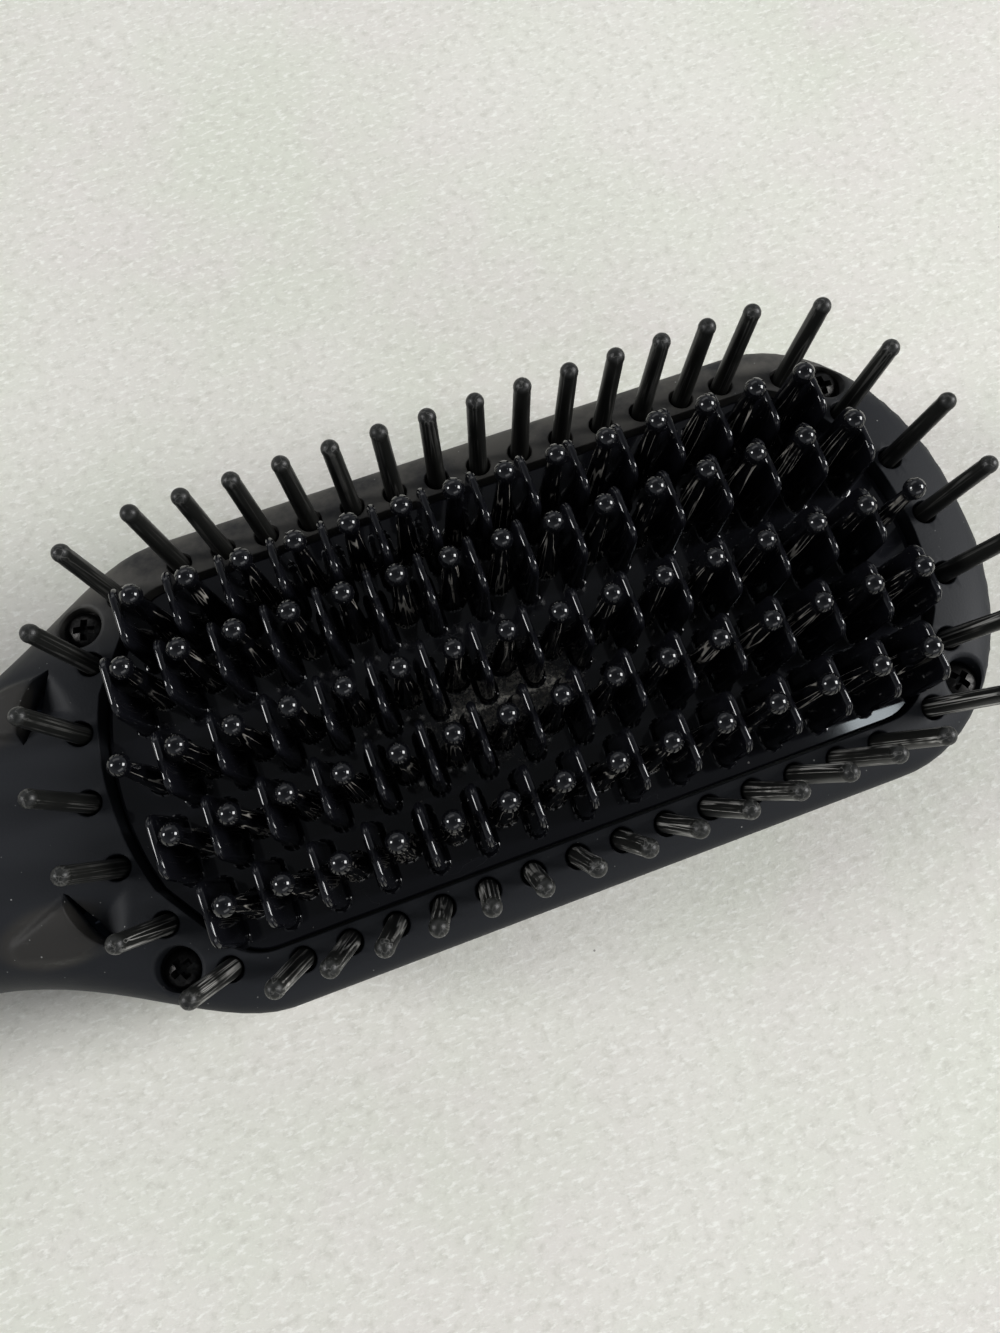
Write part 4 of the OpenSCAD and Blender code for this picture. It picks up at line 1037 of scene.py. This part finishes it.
def shell(name, outer, inner, openings, extras, nodes, step=STEP, inner_step=5.0):
    """A housing half: both skins with their openings, and the parting edge between them."""
    bm = bmesh.new()
    loops = []
    for skin, which, spacing in ((outer, 0, step), (inner, 1, inner_step)):
        border, half, end = skin_border(skin)
        cut = [[skin.flat(*p) for p in o[which]] for o in openings if o[which]]
        rings = [with_reach(h) for h in cut]
        inside = filling(half, spacing, X_BUTT, end, rings, spacing * 0.42)
        if skin is top:
            finer = filling(half, spacing / 4, HOOD_TIP_X - 1, RIM_X, rings, spacing * 0.1)
            inside = [p for p in inside if not on_hood(p)] + [p for p in finer if on_hood(p)]
        made = sheet(bm, border, cut, inside, lambda p: skin.place(p.x, p.y))
        rest = iter(made[1:])
        loops.append([made[0]] + [next(rest) if o[which] else None for o in openings])
    for o, ring, ring_in in zip(openings, loops[0][1:], loops[1][1:]):
        o[2](bm, ring, ring_in, outer, inner)
    places = []
    for v, w in zip(loops[0][0], loops[1][0]):
        inward = (w.co - v.co).normalized() * PARTING_R
        level = seam_z(v.co.x) if abs(v.co.z - seam_z(v.co.x)) < PARTING_REACH else v.co.z
        places.append(Vector((v.co.x + inward.x, v.co.y + inward.y, level)))
    pull(bm, pull(bm, loops[0][0], places), [v.co.copy() for v in loops[1][0]])
    for extra in extras:
        extra(bm)
    finish_piece(bm, name, "case", soft_black.material, nodes)


# %% Turned pieces
def tube(bm, cx, cy, z0, z1, r_out, r_in, count=28):
    """A plain boss or post with its pilot bore."""
    ring = loop(bm, circle(r_out, count, cx, cy, z0))
    for r, z in ((r_out, z1), (r_in, z1), (r_in, z0), (r_out, z0)):
        ring = pull(bm, ring, circle(r, count, cx, cy, z))


def spun(bm, profile, steps, place):
    """A closed profile of radius and height spun into a ring, and set in place."""
    rings = [[place(p) for p in circle(r, steps, 0, 0, z)] for r, z in [*profile, profile[0]]]
    ring = loop(bm, rings[0])
    for places in rings[1:]:
        ring = pull(bm, ring, places)


# %% Front and back shells
openings = [through(lambda g: [(p.x, p.y) for p in plate_outline(GAP + g)], 0.18)]
for p in bristle_places:
    openings.append(through(round_hole(X_MID + p[0], p[1], BRISTLE_FOOT_D / 2 + SLIDE, 24), 0.2))
for _, x, d in BUTTONS:
    openings.append(through(round_hole(x, 0, d / 2 + SLIDE, 48), 0.4))
for p in head_places:
    openings.append(pocket(*p, SCREW_R, None, head_seat(p), 0, 0.65))
openings.append(window_seat())
openings += [scooped(1), scooped(-1)]
handle_places = [(X_NECK + 6, 8.5), (X_NECK + 6, -8.5), (X_BUTT + 30, 0.0)]


def grip_bosses(bm):
    for x, y in handle_places:
        tube(bm, x, y, seam_z(x), top_in.over(x, y) + 0.5, BOSS_R, PILOT_R)


shell("face_shell", top, top_in, openings, [grip_bosses], ("front_housing",))
back_openings = []
for p in handle_places:
    back_openings.append(pocket(*p, SCREW_R, POCKET_BOSS_R, low.over(*p) + POCKET_DEPTH, seam_z(p[0]), 0.4))
shell("back_shell", low, low_in, back_openings, [], ("rear_housing",))

# %% [markdown]
# ## Screws
# Four screws sit deep in the face and three in the back. Their cross is a real recess: the domed head
# is a flat sheet with a cross cut out of it, lifted to the dome, and the edge of the cross is pulled
# down to a narrower floor.

# %% Cross-head screws
# rings of the head under its dome, as shares of its radius and height, then the shank and its point
HEAD_RINGS = ((0.985, 0.52), (1.0, 0.4), (1.0, 0.0))
SHANK_SHARE, POINT_SHARE, POINT_L, DOME_SHARE = 0.565, 0.3, 0.6, 0.42
CROSS = [(0.42, 0.42), (0.42, 1.35), (-0.42, 1.35), (-0.42, 0.42), (-1.35, 0.42), (-1.35, -0.42),
         (-0.42, -0.42), (-0.42, -1.35), (0.42, -1.35), (0.42, -0.42), (1.35, -0.42), (1.35, 0.42)]


def cross_screw(bm, place, side, head_h, shank, turn):
    """A pan-head screw whose seat is at place and whose head points up (side 1) or down."""
    r = SCREW_HEAD_D / 2

    def dome(x, y):
        return head_h - DOME_SHARE * head_h * (x * x + y * y) / r ** 2

    def put(x, y, z):
        c, s = math.cos(turn), math.sin(turn)
        return place + Vector((c * x - s * y, (s * x + c * y) * side, z * side))

    rim_r = r * 0.93
    rim = [(rim_r * math.cos(a), rim_r * math.sin(a)) for a in [2 * math.pi * k / 32 for k in range(32)]]
    grid = [(q * r * math.cos(a), q * r * math.sin(a)) for q in (0.4, 0.66, 0.82)
            for a in [2 * math.pi * (k + 0.5) / 16 for k in range(16)]]
    grid = [Vector(p) for p in grid if not (abs(p[0]) < 0.6 and abs(p[1]) < 1.5)
            and not (abs(p[1]) < 0.6 and abs(p[0]) < 1.5)]
    loops = sheet(bm, rim, [CROSS], grid, lambda p: put(p.x, p.y, dome(p.x, p.y)))
    deep = pull(bm, loops[1], [put(0.94 * x, 0.94 * y, dome(x, y) - 0.12) for x, y in CROSS])
    bm.faces.new(pull(bm, deep, [put(0.62 * x, 0.62 * y, 0.25 * head_h) for x, y in CROSS]))
    ring = loops[0]
    below = [(q, z * head_h) for q, z in HEAD_RINGS]
    below += [(SHANK_SHARE, 0.0), (SHANK_SHARE, -shank + POINT_L), (POINT_SHARE, -shank)]
    for q, z in below:
        ring = pull(bm, ring, [put(q * r * math.cos(a), q * r * math.sin(a), z)
                               for a in [2 * math.pi * k / 32 for k in range(32)]])
    bm.faces.new(ring)


FACE_HEAD_H, BACK_HEAD_H = 1.6, 2.2
bm = bmesh.new()
for k, p in enumerate(head_places):
    seat = head_seat(p)
    cross_screw(bm, Vector((*p, seat)), 1, FACE_HEAD_H, seat - low.over(*p) - 3.5, 0.4 + 0.9 * k)
finish_piece(bm, "face_screws", "case", dark_steel.material, ("head_screws",))
bm = bmesh.new()
for k, p in enumerate(handle_places):
    seat = low.over(*p) + POCKET_DEPTH
    cross_screw(bm, Vector((*p, seat)), -1, BACK_HEAD_H, seam_z(p[0]) + 8 - seat, 0.2 + 0.7 * k)
finish_piece(bm, "grip_screws", "case", dark_steel.material, ("handle_screws",))

# %% [markdown]
# ## Controls
# The smoked window is a piece of the skin itself, so it lies flush in its seat. The buttons are turned
# caps with a flange under the skin that keeps them in and a stem over the switch.

# %% Display window
bm = bmesh.new()
FIT, GLASS_EASE = 0.15, 0.2
glass_border = [top.flat(*p) for p in window_outline(-FIT - GLASS_EASE)]
glass_grid = [Vector(top.flat(WINDOW_X + x * 1.8, y * 1.4)) for x in range(-4, 5) for y in range(-2, 3)]
glass = sheet(bm, glass_border, [], glass_grid, lambda p: top.place(p.x, p.y))[0]
glass = rounded(bm, glass, lambda g: window_outline(-FIT - g), GLASS_EASE, top)
bm.faces.new(pull(bm, glass, [Vector((x, y, WINDOW_FLOOR)) for x, y in window_outline(-FIT)]))
finish_piece(bm, "window", "case", smoked.material, ("display_window",))

# %% Buttons
BOARD_RISE, SWITCH_H, TRAVEL, PLAY = 3.6, 3.5, 0.6, 0.4
STEM_Z = GRIP_Z + BOARD_RISE + SWITCH_H + TRAVEL + PLAY
STEM_R, FLANGE, PROUD, RIM, DISH = 2.0, 1, 0.5, 0.8, 0.28
for key, x, d in BUTTONS:
    bm = bmesh.new()
    under = top_in.over(x, d / 2 + FLANGE) - 0.3
    crown = top.over(x, 0) + PROUD
    profile = [(STEM_R, STEM_Z), (STEM_R, under - FLANGE), (d / 2 + FLANGE, under - FLANGE),
               (d / 2 + FLANGE, under), (d / 2, under), (d / 2, crown - RIM)]
    profile += [(d / 2 - RIM + RIM * math.cos(math.radians(a)), crown - RIM + RIM * math.sin(math.radians(a)))
                for a in (15, 30, 45, 60, 75, 90)]
    profile += [(d / 2 * q, crown - DISH * (1 - q * q * 1.4)) for q in (0.62, 0.45, 0.25)]
    turned(bm, profile, x, 0, 0, 48)
    finish_piece(bm, key + "_cap", key, satin.material, (key + "_button",))


# %% [markdown]
# ## Cap and swivel
# The cap closes the grip and holds the turning cord inlet. Both are round, so each is a closed profile
# of radius and height, spun round the grip's axis. Heights count outwards from the end of the grip.

# %% Cap and swivel
def out_of_butt(p):
    """Stands a turned shape in the end of the grip, with its height pointing out of it."""
    return Vector((X_BUTT - p.z, p.y, GRIP_Z + p.x))


bm = bmesh.new()
CAP_L, CAP_EDGE, SPIGOT_R = 8.0, 4.0, 11.35
cap = [(SPIGOT_R, -7.0), (SPIGOT_R, -0.01), (BUTT_D / 2 - 0.3, 0.0), (BUTT_D / 2, 0.3)]
cap += [(BUTT_D / 2 - CAP_EDGE + CAP_EDGE * math.cos(math.radians(a)),
         CAP_L - CAP_EDGE + CAP_EDGE * math.sin(math.radians(a))) for a in range(0, 91, 10)]
cap += [(7.45, CAP_L), (7.2, CAP_L - 0.1), (7.05, CAP_L - 0.4), (7.05, -1.5), (9.6, -1.5), (9.6, -7.0)]
spun(bm, cap, 72, out_of_butt)
finish_piece(bm, "grip_cap", "case", soft_black.material, ("end_cap",))
bm = bmesh.new()
inner_sleeve = [(3.2, -20.95), (4.7, -20.95), (4.7, -4.95)]
washer_groove = [(7.0, -4.95), (7.0, -2.95), (5.5, -2.95), (5.5, -1.8), (7.0, -1.8)]
collar = [(7.0, 8.3), (8.2, 8.3), (8.42, 8.4), (8.5, 8.6), (8.5, 10.9), (8.42, 11.2), (8.2, 11.5)]
taper = [(7.3, 15.2), (7.2, 15.4), (7.2, 15.7), (7.05, 16.0), (6.9, 17.0), (6.9, 17.3), (6.7, 17.55)]
mouth = [(6.6, 19.4), (6.45, 19.8), (6.15, 19.99), (3.8, 19.99), (3.4, 19.85), (3.2, 19.5)]
spun(bm, inner_sleeve + washer_groove + collar + taper + mouth, 64, out_of_butt)
finish_piece(bm, "cord_inlet", "swivel", swivel_black.material, ("cord_swivel",))
